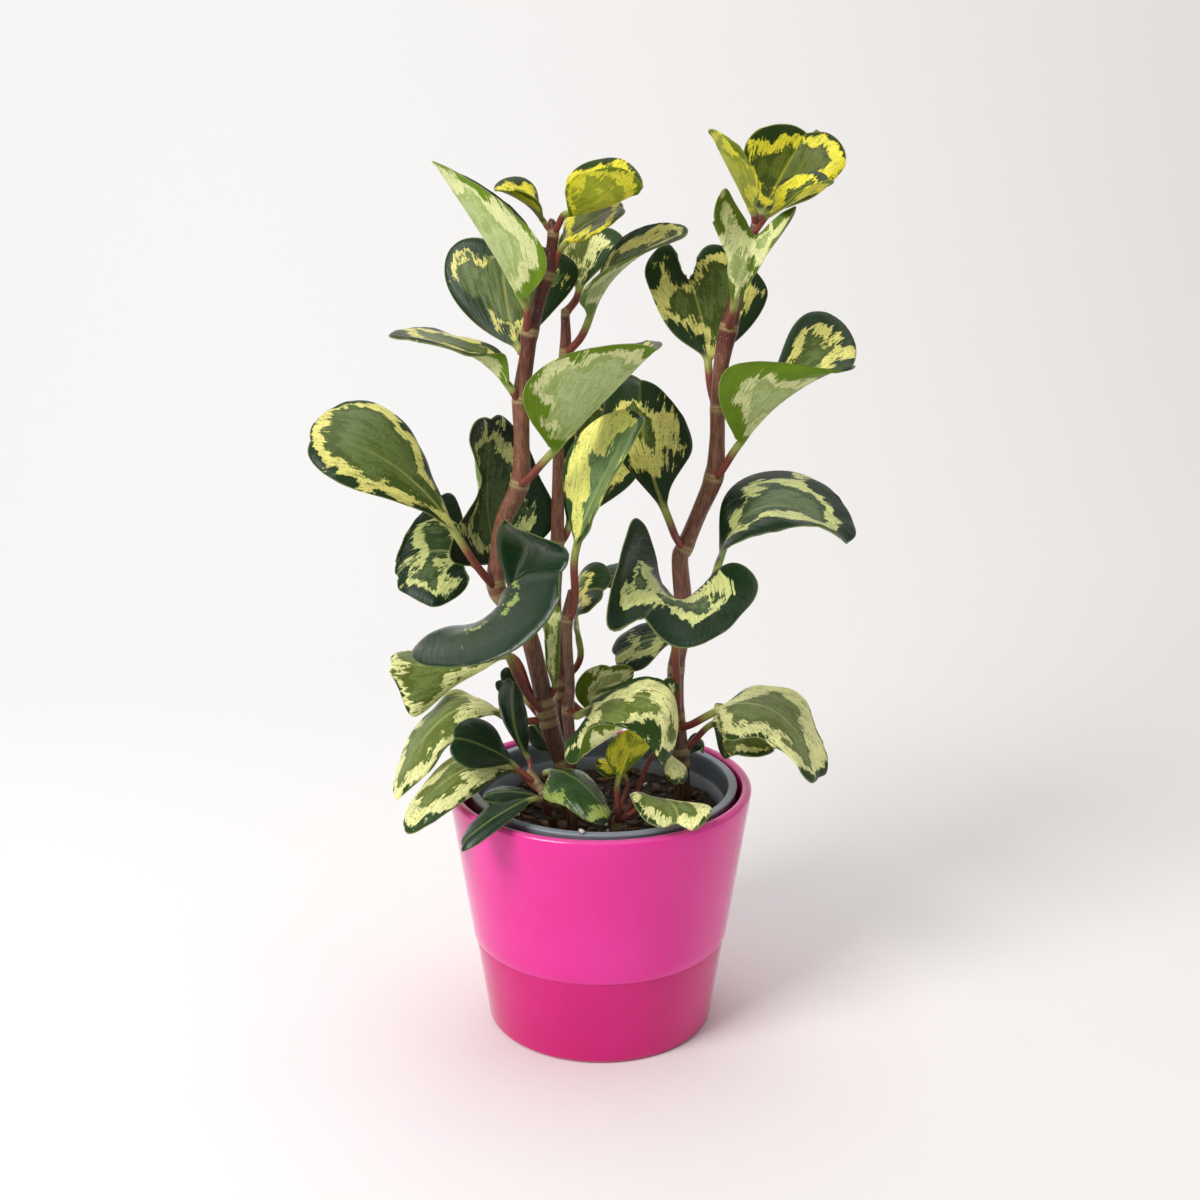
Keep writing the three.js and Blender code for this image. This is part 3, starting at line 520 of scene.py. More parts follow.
def stem_material():
    """Red-brown skin with fine pale streaks, greyer low down, tan scars at the joints."""
    material, tree, shader = new_material("stem_skin")
    place = object_place(tree)
    height = split(tree, place)["Z"]
    joint = kept(tree, "stem_joint")
    long = node(tree, "ShaderNodeMapping", inputs={"Vector": place, "Scale": (1, 1, 0.12)}).outputs[0]
    streak = noise(tree, long, 1400.0, 4.0, 0.6)
    patch = noise(tree, place, 90.0, 3.0)
    bold = ramp(tree, streak, 0.3, 0.72)
    young = tones(tree, bold, (74, 28, 26), (114, 54, 46))
    middle = tones(tree, bold, (98, 56, 42), (152, 102, 78))
    old = tones(tree, bold, (60, 36, 28), (118, 82, 60))
    level = scaled(tree, patch, 0.06, height)
    skin = mix(tree, ramp(tree, level, 0.345, 0.315), young, middle)
    skin = mix(tree, ramp(tree, level, 0.225, 0.145), skin, old)
    tan = tones(tree, streak, (140, 122, 70), (206, 180, 128))
    near = ramp(tree, scaled(tree, streak, 2.0, joint), 3.4, 1.6)
    skin = mix(tree, times(tree, near, 0.75), skin, tan)
    scar = ramp(tree, joint, 0.5, 0.2)
    skin = mix(tree, times(tree, scar, 0.35), skin, linear((70, 42, 34)))
    flecks = ramp(tree, noise(tree, place, 1500.0, 2.0), 0.66, 0.72)
    skin = mix(tree, times(tree, flecks, 0.6), skin, linear((206, 178, 140)))
    tree.links.new(skin, shader.inputs["Base Color"])
    tree.links.new(scaled(tree, streak, 0.3, 0.24), shader.inputs["Roughness"])
    ridge = scaled(tree, scar, -0.7, streak)
    bump(tree, shader, ridge, 0.5, 0.7)
    return material


def stem_mesh(name, rows):
    """One stem from its foot in the soil to its round tip, swollen at the joints."""
    foot = (*rows[0][:2], SOIL_TOP - STEM_DEPTH, rows[0][3])
    curve = smooth_rows([foot] + rows)
    centre = curve[:, :3]
    heights = curve[:, 2:3]
    gap = np.min(np.abs(heights - np.array(JOINTS[name])), axis=1)
    radii = curve[:, 3] * (0.97 + JOINT_SWELL * np.exp(-(gap / JOINT_WIDTH) ** 2)
                           - SCAR_DIP * np.exp(-(gap / SCAR_WIDTH) ** 2))
    rings = tube(centre, radii)
    draw = np.random.default_rng(sum(map(ord, name)))
    lumps = 1 + 0.03 * np.sin(2 * STEM_TURNS + draw.uniform(0, 6) + heights * 0.11)
    rings = centre[:, None] + (rings - centre[:, None]) * lumps[:, :, None]
    tip = centre[-1] + 0.7 * radii[-1] * unit(centre[-1] - centre[-2])
    points = np.vstack([rings.reshape(-1, 3), tip, centre[0]])
    total = len(points) - 2
    end = total - STEM_SIDES
    faces = ring_faces(len(rings), STEM_SIDES)
    faces += [(end + j, end + (j + 1) % STEM_SIDES, total) for j in range(STEM_SIDES)]
    faces += [((j + 1) % STEM_SIDES, j, total + 1) for j in range(STEM_SIDES)]
    stem = mesh_piece(name.replace("stem", "stalk").replace("shoot", "sprout"), points, faces)
    joint = stem.data.attributes.new("stem_joint", "FLOAT", "POINT")
    joint.data.foreach_set("value", np.concatenate([np.repeat(gap, STEM_SIDES), [gap[-1], 9]]))
    return stem


stem_skin = stem_material()
for name, rows in STEMS.items():
    stem = stem_mesh(name, rows)
    shade(stem, stem_skin)
    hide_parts(name)


# Leaves. Thick, waxy, spoon-shaped blades on round stalks, one grown piece each.
# Dark green, cream and grey-green zones follow the margin; undersides are matt and pale.
TIP_SWEEP = math.radians(65)
HALF_COLUMNS = (0.02, 0.05, 0.1, 0.17, 0.25, 0.34, 0.44, 0.54, 0.64, 0.73, 0.82, 0.9, 0.955, 0.985, 1)
BLADE_ROWS = 40
LAST_ROWS = (0.965, 0.985, 0.995, 1)
PETIOLE_RINGS = 12
PETIOLE_RADIUS = 1.7
RIB_THICKNESS = 1.1
MARGIN_THICKNESS = 0.66
NOTCH_DEPTH = 2
NOTCH_WIDTH = 0.4
ROOT_BLEND = 0.12
SHOULDER = 0.86
HEEL = 0.28
MARGIN_ROLL = 0.9
ROLL_WIDTH = 4
LEAF_SEED = 3.7
ZONE_COLOURS = ("Margin colour", "Band colour", "Centre colour", "Streak colour")
# Rows: leaf, its stem and height there, colouring, green margin, cream band and lean in mm, the
# points base, mid, tip, left and right, and what differs from a plain leaf.
LEAVES = [
    # Crown of the left stem.
    ("crown_left_large", "stem_left", 311, "variegated", (3, 5, 0),
     [(-31, -8, 324), (-46, -14, 350), (-66, -12, 380), (-23, -30, 349), (-30, 14, 354)], dict(notch=0)),
    ("crown_left_small", "stem_left", 351, "young", (4, 5, 0),
     [(-23, 8, 355), (-31, 8, 363), (-44, 8, 369), (-26, -7, 366), (-29, 24, 371)],
     dict(notch=1, petiole=1.2)),
    ("crown_middle", "stem_left", 352, "young", (1, 4, 0),
     [(-13, -4, 359), (1, -14, 362), (16, -20, 369), (2, 4, 381), (-1, -28, 377)],
     dict(petiole=1.4, crease=0.1, left_shoulder=(14, -8, 377), left_heel=(-14, 4, 372),
          right_shoulder=(12, -26, 376), right_heel=(-13, -14, 370))),
    ("crown_inner", "stem_left", 334, "young", (1, 3, 0),
     [(-15, 2, 346), (-4, 4, 355), (11, 4, 362), (-10, 20, 361), (-1, -14, 353)], dict(petiole=1.4)),
    ("crown_back", "stem_left", 311, "variegated", (5.5, 3, 0),
     [(-34, 13, 302), (-40, 24, 321), (-42, 33, 346), (-67, 32, 333), (-9, 30, 333)], dict(taper=1.4)),
    # Upper and middle leaves of the left stem.
    ("upper_left", "stem_left", 283, "variegated", (4, 4, 0),
     [(-37, -4, 288), (-57, -4, 304), (-88, 0, 310), (-54, -14, 304), (-62, 18, 308)],
     dict(notch=0.5, left_heel=(-39, -8, 303), right_heel=(-42, 8, 303))),
    ("upper_front", "stem_left", 247, "variegated", (4, 3, 0),
     [(-20, -22, 264), (2, -36, 289), (23, -40, 311), (11, -6, 305), (-27, -54, 300)], dict(taper=1.4)),
    ("left_wide", "stem_left", 201, "variegated", (3, 3, 0),
     [(-61, -8, 227), (-89, -12, 259), (-122, -12, 268), (-102, -26, 251), (-92, 14, 278)], dict(taper=1.6)),
    ("left_upright", "stem_left", 204, "laced", (7, 4, 0),
     [(-43, 15, 205), (-50, 25, 232), (-46, 18, 273), (-49, 6, 246), (-27, 30, 245)],
     dict(crease=0.1, left_shoulder=(-54, 2, 267), left_heel=(-64, 0, 215), right_shoulder=(-36, 30, 265),
          right_heel=(-21, 30, 221))),
    ("left_round", "stem_left", 197, "laced", (5, 5, 0),
     [(-57, 12, 210), (-74, 12, 214), (-90, 8, 203), (-72, -8, 195), (-81, 26, 228)],
     dict(crease=0.2, left_shoulder=(-85, 0, 199), left_heel=(-58, 2, 201), right_shoulder=(-86, 16, 216),
          right_heel=(-64, 26, 236))),
    ("front_saddle", "stem_left", 142, "dark", (30, 2, 0),
     [(-41, -6, 176), (-40, -24, 206), (-15, -56, 223), (-37, -38, 240), (-76, -46, 184)],
     dict(taper=1, crease=-0.9, left_shoulder=(-27, -54, 237), left_heel=(-41, -12, 208),
          right_shoulder=(-36, -66, 193), right_heel=(-63, -14, 188))),
    ("left_hanging", "stem_left", 142, "pale", (1, 4, 0),
     [(-44, 10, 167), (-68, 4, 165), (-92, -4, 168), (-83, -8, 144), (-79, 22, 165)],
     dict(left_shoulder=(-88, -6, 157), left_heel=(-66, 4, 153))),
    # The thin stem, the back stem and the leaves that stand among them.
    ("thin_stem_top", "stem_thin", 191, "bright", (1.2, 6.5, 6),
     [(-10, -14, 222), (0, -20, 250), (17, -26, 282), (-13, -6, 263), (4, -42, 258)], {}),
    ("middle_yellow", "stem_back", 150, "variegated", (6, 4, 0),
     [(-9, 16, 170), (-9, 12, 192), (3, 4, 199), (-7, 24, 205), (-8, -6, 192)], dict(petiole=1.5)),
    ("inner_edge_on", "stem_left", 147, "pale", (3, 4, 0),
     [(-20, 4, 156), (-21, -2, 174), (-22, 20, 187), (-16, 6, 184), (-26, 12, 181)], dict(petiole=1.4)),
    ("back_stem_tip", "stem_back", 316, "pale", (3, 4, 0),
     [(-9, 37, 325), (-6, 46, 339), (0, 51, 352), (-17, 44, 346), (9, 43, 344)], {}),
    ("back_stem_top", "stem_back", 299, "variegated", (3, 4, 0),
     [(-5, 22, 313), (10, 18, 336), (37, 8, 351), (6, 30, 345), (-6, 2, 330)], dict(taper=1.3)),
    ("back_stem_middle", "stem_back", 214, "variegated", (4.5, 3.5, -2),
     [(-14, 29, 221), (-4, 34, 246), (10, 40, 274), (-17, 40, 267), (18, 36, 245)], dict(taper=1.6)),
    # Crown of the right stem.
    ("right_crown_left", "stem_right", 355, "young", (2, 3, 0),
     [(63, 7, 359), (53, -2, 375), (43, -6, 393), (61, -22, 377), (58, 14, 383)], {}),
    ("right_crown_right", "stem_right", 355, "young", (3, 4, 0),
     [(67, 16, 357), (77, 30, 374), (88, 34, 392), (62, 26, 387), (102, 22, 378)],
     dict(right_shoulder=(99, 28, 388), right_heel=(90, 24, 365))),
    ("right_crown_small", "stem_right", 351, "young", (2, 4, 0),
     [(69, 4, 358), (78, -8, 364), (92, -12, 372), (79, 2, 374), (79, -20, 369)],
     dict(petiole=1.2, left_shoulder=(88, -2, 376), left_heel=(72, 4, 370))),
    ("right_crown_front", "stem_right", 312, "pale", (3, 4, 0),
     [(55, -6, 323), (58, -16, 341), (63, -6, 350), (80, -10, 361), (44, -20, 362)],
     dict(taper=1.4, left_shoulder=(71, -8, 357), right_shoulder=(52, -12, 366), right_heel=(50, -14, 347))),
    # Upper and middle leaves of the right stem.
    ("right_back", "stem_right", 278, "variegated", (4.5, 3, 0),
     [(46, 16, 296), (43, 24, 315), (37, 28, 332), (18, 26, 335), (72, 30, 328)],
     dict(taper=1.4, left_shoulder=(30, 32, 345), right_shoulder=(49, 32, 345), left_heel=(29, 20, 311))),
    ("right_upper", "stem_right", 248, "variegated", (7, 4, 0),
     [(58, 0, 263), (79, -6, 286), (106, -6, 299), (86, 25, 315), (54, -25, 303)],
     dict(taper=1.4, right_shoulder=(91, -14, 298))),
    ("right_lower", "stem_right", 187, "laced", (7, 5, 0),
     [(50, -2, 209), (70, -6, 238), (105, -22, 226), (87, 22, 248), (76, -26, 233)],
     dict(crease=0.1, left_shoulder=(106, 0, 236), left_heel=(53, 10, 239), right_shoulder=(92, -32, 236),
          right_heel=(54, -22, 226))),
    ("right_inner", "stem_right", 216, "variegated", (7, 6, 0),
     [(28, -2, 235), (19, 4, 264), (17, 8, 292), (1, 18, 269), (40, 10, 264)], dict(taper=1.8)),
    ("right_saddle", "stem_right", 138, "laced", (11, 5, 0),
     [(32, -14, 189), (28, -36, 207), (17, -62, 205), (63, -52, 214), (13, -46, 242)],
     dict(crease=0, left_shoulder=(39, -66, 196), left_heel=(49, -30, 219), right_shoulder=(3, -64, 207),
          right_heel=(24, -28, 221))),
    ("right_dark", "stem_right", 187, "dark", (60, 0.5, 0),
     [(33, 22, 189), (15, 28, 198), (-2, 30, 196), (16, 20, 191), (14, 36, 203)], {}),
    # Leaves round the foot of the plant, left side.
    ("base_left_hanging", "stem_left", 138, "pale", (0.5, 5, 0),
     [(-43, 4, 141), (-67, -8, 145), (-91, -22, 113), (-66, -24, 136), (-74, 12, 145)], dict(wave=1.5)),
    ("base_left_dark", "shoot_left", 119, "dark", (60, 0.5, 0),
     [(-38, -18, 127), (-50, -26, 138), (-63, -34, 145), (-55, -40, 134), (-50, -14, 146)],
     dict(petiole=1.2)),
    ("base_left_upright", "shoot_left", 122, "dark", (60, 0.5, 0),
     [(-32, -13, 129), (-37, -18, 146), (-37, -22, 167), (-44, -16, 152), (-31, -14, 147)],
     dict(petiole=1.1)),
    ("base_left_bud", "stem_left", 136, "dark", (60, 0.5, 0),
     [(-34, 14, 145), (-41, 18, 150), (-46, 20, 154), (-45, 16, 148), (-40, 22, 157)], dict(petiole=1.2)),
    ("base_rim_left", "shoot_left", 115, "pale", (1, 7, 0),
     [(-36, -10, 120), (-58, -28, 128), (-84, -46, 108), (-56, -43, 121), (-65, -12, 128)],
     dict(petiole=1.3)),
    ("base_front_left", "shoot_left", 105, "dark", (60, 0.5, 0),
     [(-29, -44, 121), (-43, -58, 119), (-58, -66, 109), (-45, -66, 115), (-50, -50, 118)],
     dict(petiole=1.2, taper=0.9)),
    ("base_front_small", "shoot_left", 111, "dark", (60, 0.5, 0),
     [(-27, -30, 116), (-37, -36, 121), (-50, -42, 122), (-40, -44, 120), (-40, -28, 121)],
     dict(petiole=1.1)),
    ("base_front_dark", "stem_left", 110, "dark", (0.2, 3, 0),
     [(-22, -20, 124), (-9, -36, 126), (5, -50, 114), (-4, -26, 124), (-14, -48, 120)],
     dict(petiole=1.4, right_heel=(-25, -34, 119))),
    # Leaves round the foot of the plant, middle and right side.
    ("base_middle_folded", "stem_thin", 150, "pale", (4, 7, 0),
     [(-9, -20, 150), (21, -46, 166), (27, -56, 141), (14, -28, 170), (-4, -62, 141)],
     dict(widest=0.42, crease=0.1, left_shoulder=(32, -40, 149), left_heel=(0, -22, 161),
          right_shoulder=(16, -60, 155), right_heel=(-15, -40, 143))),
    ("base_drooping", "shoot_front", 105, "pale", (2, 6, 0),
     [(28, -20, 133), (32, -28, 130), (34, -34, 123), (38, -22, 126), (27, -28, 127)], dict(petiole=1)),
    ("base_front_right", "shoot_front", 107, "pale", (0.2, 2.5, 0),
     [(22, -34, 117), (30, -52, 122), (32, -64, 117), (46, -58, 123), (13, -52, 127)],
     dict(petiole=1.1, crease=0, left_shoulder=(42, -66, 120), right_shoulder=(20, -64, 120))),
    ("base_middle_pale", "stem_back", 143, "pale", (3, 4, 0),
     [(-5, 10, 142), (-1, 4, 154), (5, -2, 168), (14, 8, 158), (-10, 2, 158)], {}),
    ("middle_right_flat", "stem_right", 160, "laced", (5, 4, 0),
     [(34, 22, 171), (22, 27, 169), (5, 28, 161), (18, 14, 160), (18, 40, 173)], {}),
    ("base_stem_young", "stem_right", 134, "pale", (2, 3, 0),
     [(29, 6, 143), (28, 0, 153), (27, -2, 161), (21, 2, 157), (35, -2, 158)],
     dict(widest=0.75, petiole=1.2)),
    ("base_right_large", "stem_right", 132, "pale", (1.5, 8, 3),
     [(49, -4, 145), (75, -16, 150), (94, -34, 125), (89, 8, 149), (71, -36, 146)],
     dict(wave=1.5, crease=0.1, left_shoulder=(98, -16, 133), left_heel=(68, 8, 154),
          right_shoulder=(83, -44, 136), right_heel=(54, -30, 143))),
    ("base_right_under", "stem_right", 121, "pale", (2, 3, 0),
     [(50, 12, 134), (62, 4, 138), (79, -6, 132), (65, 17, 139), (60, -14, 130)],
     dict(petiole=1.5, left_heel=(52, 17, 143), right_heel=(53, -5, 126))),
    ("base_centre_young", "shoot_front", 107, "young", (2, 4, 0),
     [(8, -36, 128), (12, -34, 139), (17, -30, 148), (21, -30, 140), (3, -34, 140)], dict(petiole=1.2)),
    ("base_centre_tiny", "shoot_front", 108, "young", (1, 4, 0),
     [(9, -24, 125), (3, -22, 127), (-3, -20, 127), (3, -26, 124), (3, -16, 129)], dict(petiole=1)),
    ("base_back_dark", "stem_left", 118, "dark", (60, 0.5, 0),
     [(-20, 18, 120), (-26, 20, 125), (-31, 22, 132), (-31, 18, 122), (-24, 24, 131)], dict(petiole=1.2)),
    ("base_back_right", "stem_right", 115, "dark", (60, 0.5, 0),
     [(40, 20, 117), (43, 22, 121), (46, 20, 125), (41, 24, 123), (47, 14, 120)], dict(petiole=1.1)),
]


class Blade:
    """A blade's middle surface: t runs along the rib, q across it from -1 to 1."""

    def __init__(self, points, taper=1.2, widest=0.6, crease=0.35, wave=0, petiole=PETIOLE_RADIUS,
                 notch=NOTCH_DEPTH, left_shoulder=None, left_heel=None, right_shoulder=None, right_heel=None):
        self.base, mid, self.tip, left, right = np.array(points, float)
        self.control = 2 * mid - 0.5 * self.base - 0.5 * self.tip
        self.side = unit(right - left)
        self.taper, self.widest, self.crease, self.wave = taper, widest, crease, wave
        self.petiole, self.notch = petiole, notch
        middle = [m[0] for m in self.frame(np.array([widest]))]
        local = lambda target: np.array([np.dot(np.subtract(target, middle[0]), middle[k])
                                         for k in (2, 3, 1)])
        self.spread = (local(right) - local(left)) / 2
        self.lift = (local(right) + local(left)) / 2
        self.root_share = petiole / np.linalg.norm(self.spread)
        self.nudges = []  # at() reads the list while it is worked out
        found = [(right_shoulder, 1, SHOULDER), (left_shoulder, -1, SHOULDER),
                 (right_heel, 1, HEEL), (left_heel, -1, HEEL)]
        self.nudges = [(sign, centre, np.subtract(target, self.at(centre, sign * self.share(centre))))
                       for target, sign, centre in found if target is not None]

    def frame(self, t):
        """The rib's point at t, with the directions along, to the right and up there."""
        t = np.asarray(t, float)[..., None]
        point = self.base * (1 - t) ** 2 + self.control * 2 * t * (1 - t) + self.tip * t * t
        along = unit((self.control - self.base) * (1 - t) + (self.tip - self.control) * t)
        right = square_to(self.side + np.zeros_like(along), along)
        return point, along, right, np.cross(right, along)

    def share(self, t):
        """The blade's half width at t, as a share of its widest."""
        t = np.asarray(t, float)
        wedge = np.sin(math.pi / 2 * np.clip(t / self.widest, 0, 1)) ** self.taper
        round_end = np.sqrt(np.clip(1 - (np.maximum(t - self.widest, 0) / (1 - self.widest)) ** 2, 0, 1))
        return self.root_share + (1 - self.root_share) * np.where(t < self.widest, wedge, round_end)

    def pull(self, t, centre):
        """How much of a nudge of the margin at centre is felt at t."""
        before = np.cos(math.pi / 2 * np.clip((centre - t) / min(0.35, centre), 0, 1)) ** 2
        if centre > self.widest:
            angle = lambda at: np.arccos(np.clip((at - self.widest) / (1 - self.widest), 0, 1))
            after = np.sin(math.pi / 2 * np.clip(angle(t) / angle(centre), 0, 1)) ** 1.2
        else:
            after = np.cos(math.pi / 2 * np.clip((t - centre) / 0.35, 0, 1)) ** 2
        return np.where(t <= centre, before, after)

    def at(self, t, q):
        """Points of the surface."""
        t, q = np.broadcast_arrays(np.asarray(t, float), np.asarray(q, float))
        point, along, right, up = self.frame(t)
        bend = self.crease * np.abs(q) + (1 - self.crease) * q * q
        offset = self.spread * q[..., None] + self.lift * bend[..., None]
        ripple = self.wave * q * q * np.sin(5 * math.pi * t + np.sign(q) * 1.3)
        point = point + right * offset[..., 0:1] + up * (offset[..., 1] + ripple)[..., None]
        point = point + along * offset[..., 2:3]
        reach = np.clip(np.abs(q) / self.share(t), 0, 1) ** 1.5
        for sign, centre, move in self.nudges:
            weight = np.where(np.sign(q) == sign, self.pull(t, centre) * reach, 0)
            point = point + weight[..., None] * move
        return point


def stem_at(rows, height):
    """A stem's centre, direction and radius at a height."""
    k = max(1, next(i for i, row in enumerate(rows) if row[2] >= height))
    low, high = np.array(rows[k - 1], float), np.array(rows[k], float)
    part = (height - low[2]) / (high[2] - low[2])
    point = low + (high - low) * part
    return point[:3], unit(high[:3] - low[:3]), point[3]


def blade_surface(blade, cross, rows, number):
    """The uneven middle surface with its normals, and each point's place on it in millimetres:
    the way to the margin, across from the rib and along the rib."""
    sweep = cross * TIP_SWEEP
    tau = rows[:, None] + 0 * cross
    t = tau * (blade.widest + (1 - blade.widest) * np.cos(sweep))
    edge = blade.widest + (1 - blade.widest) * math.cos(TIP_SWEEP)
    q = blade.share(tau * edge) * np.sin(sweep) / math.sin(TIP_SWEEP)
    surface = blade.at(t, q)
    step = 0.01
    across = blade.at(t, q + step) - blade.at(t, q - step)
    ahead = blade.at(np.minimum(t + step, 1), q) - blade.at(np.maximum(t - step, 0), q)
    normal = unit(np.cross(across, ahead))
    along = blade.frame(t)[1]
    ends = np.clip(1 - np.abs(cross) / NOTCH_WIDTH, 0, 1) ** 1.5
    dip = blade.notch * ends * tau ** 8
    surface = surface - along * dip[..., None]

    draw = np.random.default_rng(number)
    phases = draw.uniform(0, 2 * math.pi, 6)
    rib = surface[:, len(cross) // 2]
    x_mm = np.sign(cross) * np.linalg.norm(surface - rib[:, None], axis=-1)
    y_mm = np.concatenate([[0], np.cumsum(np.linalg.norm(np.diff(rib, axis=0), axis=1))])[:, None]
    y_mm = y_mm + np.sum((surface - rib[:, None]) * along, axis=-1)
    relief = (0.36 * np.sin(x_mm * 0.16 + phases[0]) * np.sin(y_mm * 0.13 + phases[1])
              + 0.22 * np.sin(x_mm * 0.37 + y_mm * 0.21 + phases[2])
              + 0.14 * np.sin(y_mm * 0.5 - np.abs(x_mm) * 0.4 + phases[3]))
    relief = relief * np.clip(tau * 4, 0, 1) * np.abs(cross) ** 0.5
    surface = surface + normal * relief[..., None]

    border = np.concatenate([surface[:, 0], surface[-1], surface[::-1, -1]])
    flat = surface.reshape(-1, 3)
    far = np.min(np.linalg.norm(flat[:, None] - border[None], axis=2), axis=1).reshape(surface.shape[:2])
    surface = surface - normal * (MARGIN_ROLL * np.clip(1 - far / ROLL_WIDTH, 0, 1) ** 2
                                  * np.clip(tau * 3, 0, 1))[..., None]
    return surface, normal, far, x_mm, y_mm


def rounded(place, start, width):
    """The share of thickness that is left where a blade rounds off past a start."""
    return np.where(place > start, np.sqrt(np.clip(1 - ((place - start) / width) ** 2, 0.06, 1)), 1)


def blade_sides(blade, cross, rows, surface, normal, x_mm):
    """The two skins of the blade, with a groove over the rib and a ridge under it."""
    tau = rows[:, None] + 0 * cross
    side_share = np.abs(cross)
    half = (RIB_THICKNESS + (MARGIN_THICKNESS - RIB_THICKNESS) * side_share ** 2) / 2
    half = half * np.minimum(rounded(side_share, 0.93, 0.075), rounded(rows, 0.965, 0.037)[:, None])
    swell = blade.petiole / 2 * np.clip(1 - tau * 3, 0, 1) * (1 - side_share)
    ridge = 0.35 * np.exp(-(x_mm / 1.1) ** 2) * (1 - tau) * np.clip(tau * 5, 0, 1)
    groove = 0.3 * np.exp(-(x_mm / 0.8) ** 2) * (1 - tau * 0.8) * np.clip(tau * 4, 0, 1)
    upper = surface + normal * (half + swell - groove)[..., None]
    lower = surface - normal * (half + swell + ridge)[..., None]
    return upper, lower


def petiole_rings(blade, stem, height, columns):
    """The stalk's line from inside its stem to the blade, with rings split in two halves."""
    centre, stem_along, radius = stem_at(STEMS[stem], height)
    outward = square_to(blade.base - centre, stem_along)
    foot = centre + outward * radius * 0.3
    reach = np.linalg.norm(blade.base - foot)
    root_along = blade.frame(np.array(0.0))[1]
    leaning = unit(unit(blade.base - foot) + 0.45 * outward)
    handles = [foot, foot + leaning * reach * 0.4, blade.base - root_along * reach * 0.4, blade.base]
    turn = np.linspace(0, 1, PETIOLE_RINGS)[:, None]
    line = (handles[0] * (1 - turn) ** 3 + handles[1] * 3 * turn * (1 - turn) ** 2
            + handles[2] * 3 * turn ** 2 * (1 - turn) + handles[3] * turn ** 3)
    directions = unit(np.gradient(line, axis=0))
    directions[-1] = root_along
    sides = [blade.frame(np.array(0.0))[2]]
    for along in directions[-2::-1]:
        sides.insert(0, square_to(sides[0], along))
    angle = math.pi * (np.arange(columns) + 0.5) / columns
    widths = blade.petiole * (1 + 0.22 * np.exp(-(np.arange(len(line)) / 1.6) ** 2))
    ring_upper = []
    ring_lower = []
    for point, along, side, width in zip(line, directions, sides, widths):
        sideways = -np.cos(angle)[:, None] * width * side
        upwards = np.sin(angle)[:, None] * width * np.cross(side, along)
        ring_upper.append(point + sideways + upwards)
        ring_lower.append(point + sideways - upwards)
    return line, np.array(ring_upper), np.array(ring_lower)


def leaf_mesh(name, stem, height, look, points, form, number):
    """One leaf as a closed mesh, with what its colours need kept at each point."""
    blade = Blade(points, **form)
    cross = np.array([-c for c in reversed(HALF_COLUMNS)] + [0] + list(HALF_COLUMNS))
    columns = len(cross)
    rows = np.array(list(np.linspace(0, 0.94, BLADE_ROWS + 1)[1:]) + list(LAST_ROWS))
    surface, normal, far, x_mm, y_mm = blade_surface(blade, cross, rows, number)
    sides = blade_sides(blade, cross, rows, surface, normal, x_mm)
    line, *stalk_sides = petiole_rings(blade, stem, height, columns)
    keep = (1 - np.clip(rows / ROOT_BLEND, 0, 1) ** 0.8)[:, None, None]
    spine = surface[:, columns // 2:columns // 2 + 1]
    skins = []
    for skin, ring in zip(sides, stalk_sides):
        root = spine + (ring[-1] - line[-1]) * (1 + rows[:, None, None] * 3)
        skins.append(np.concatenate([ring, skin * (1 - keep) + root * keep]))
    rings = np.concatenate([skins[0], skins[1][:, ::-1]], axis=1)

    around = 2 * columns
    zeros = np.zeros((len(line), columns))
    stalk = np.linspace(1, 0, len(line))[:, None] + zeros
    back = -np.linalg.norm(line - line[-1], axis=1)[:, None] + zeros

    def mirror(start, rest):
        """Values of the stalk's rings and the blade's rows, given to both skins."""
        skin = np.concatenate([start, rest])
        return np.concatenate([skin, skin[:, ::-1]], axis=1).reshape(-1)

    x_cm = mirror(zeros, x_mm) / 10
    y_cm = mirror(back, y_mm) / 10
    edge_mm = mirror(zeros + blade.petiole, far)
    stalk_share = mirror(stalk, np.clip(-rows[:, None] / 0.1, -1, 0) + 0 * far)
    is_upper = np.tile(np.repeat([1.0, 0.0], columns), len(rings))

    end = (len(rings) - 1) * around
    faces = ring_faces(len(rings), around)
    faces += [(end + j, end + j + 1, end + around - 2 - j, end + around - 1 - j) for j in range(columns - 1)]
    faces.append(tuple(reversed(range(around))))
    leaf = mesh_piece("blade_" + name, rings.reshape(-1, 3), faces)
    count = len(leaf.data.vertices)
    for label, parts in (("leaf_place", (x_cm, y_cm, np.full(count, number * LEAF_SEED))),
                         ("leaf_depth", (edge_mm, stalk_share, is_upper)),
                         ("leaf_style", [np.full(count, width) for width in look])):
        attribute = leaf.data.attributes.new(label, "FLOAT_VECTOR", "POINT")
        attribute.data.foreach_set("vector", np.stack(parts, 1).reshape(-1))
    return leaf


def group_socket(tree, name, kind, side="INPUT"):
    """Adds a socket to a shader node group."""
    tree.interface.new_socket(name=name, in_out=side, socket_type="NodeSocket" + kind)


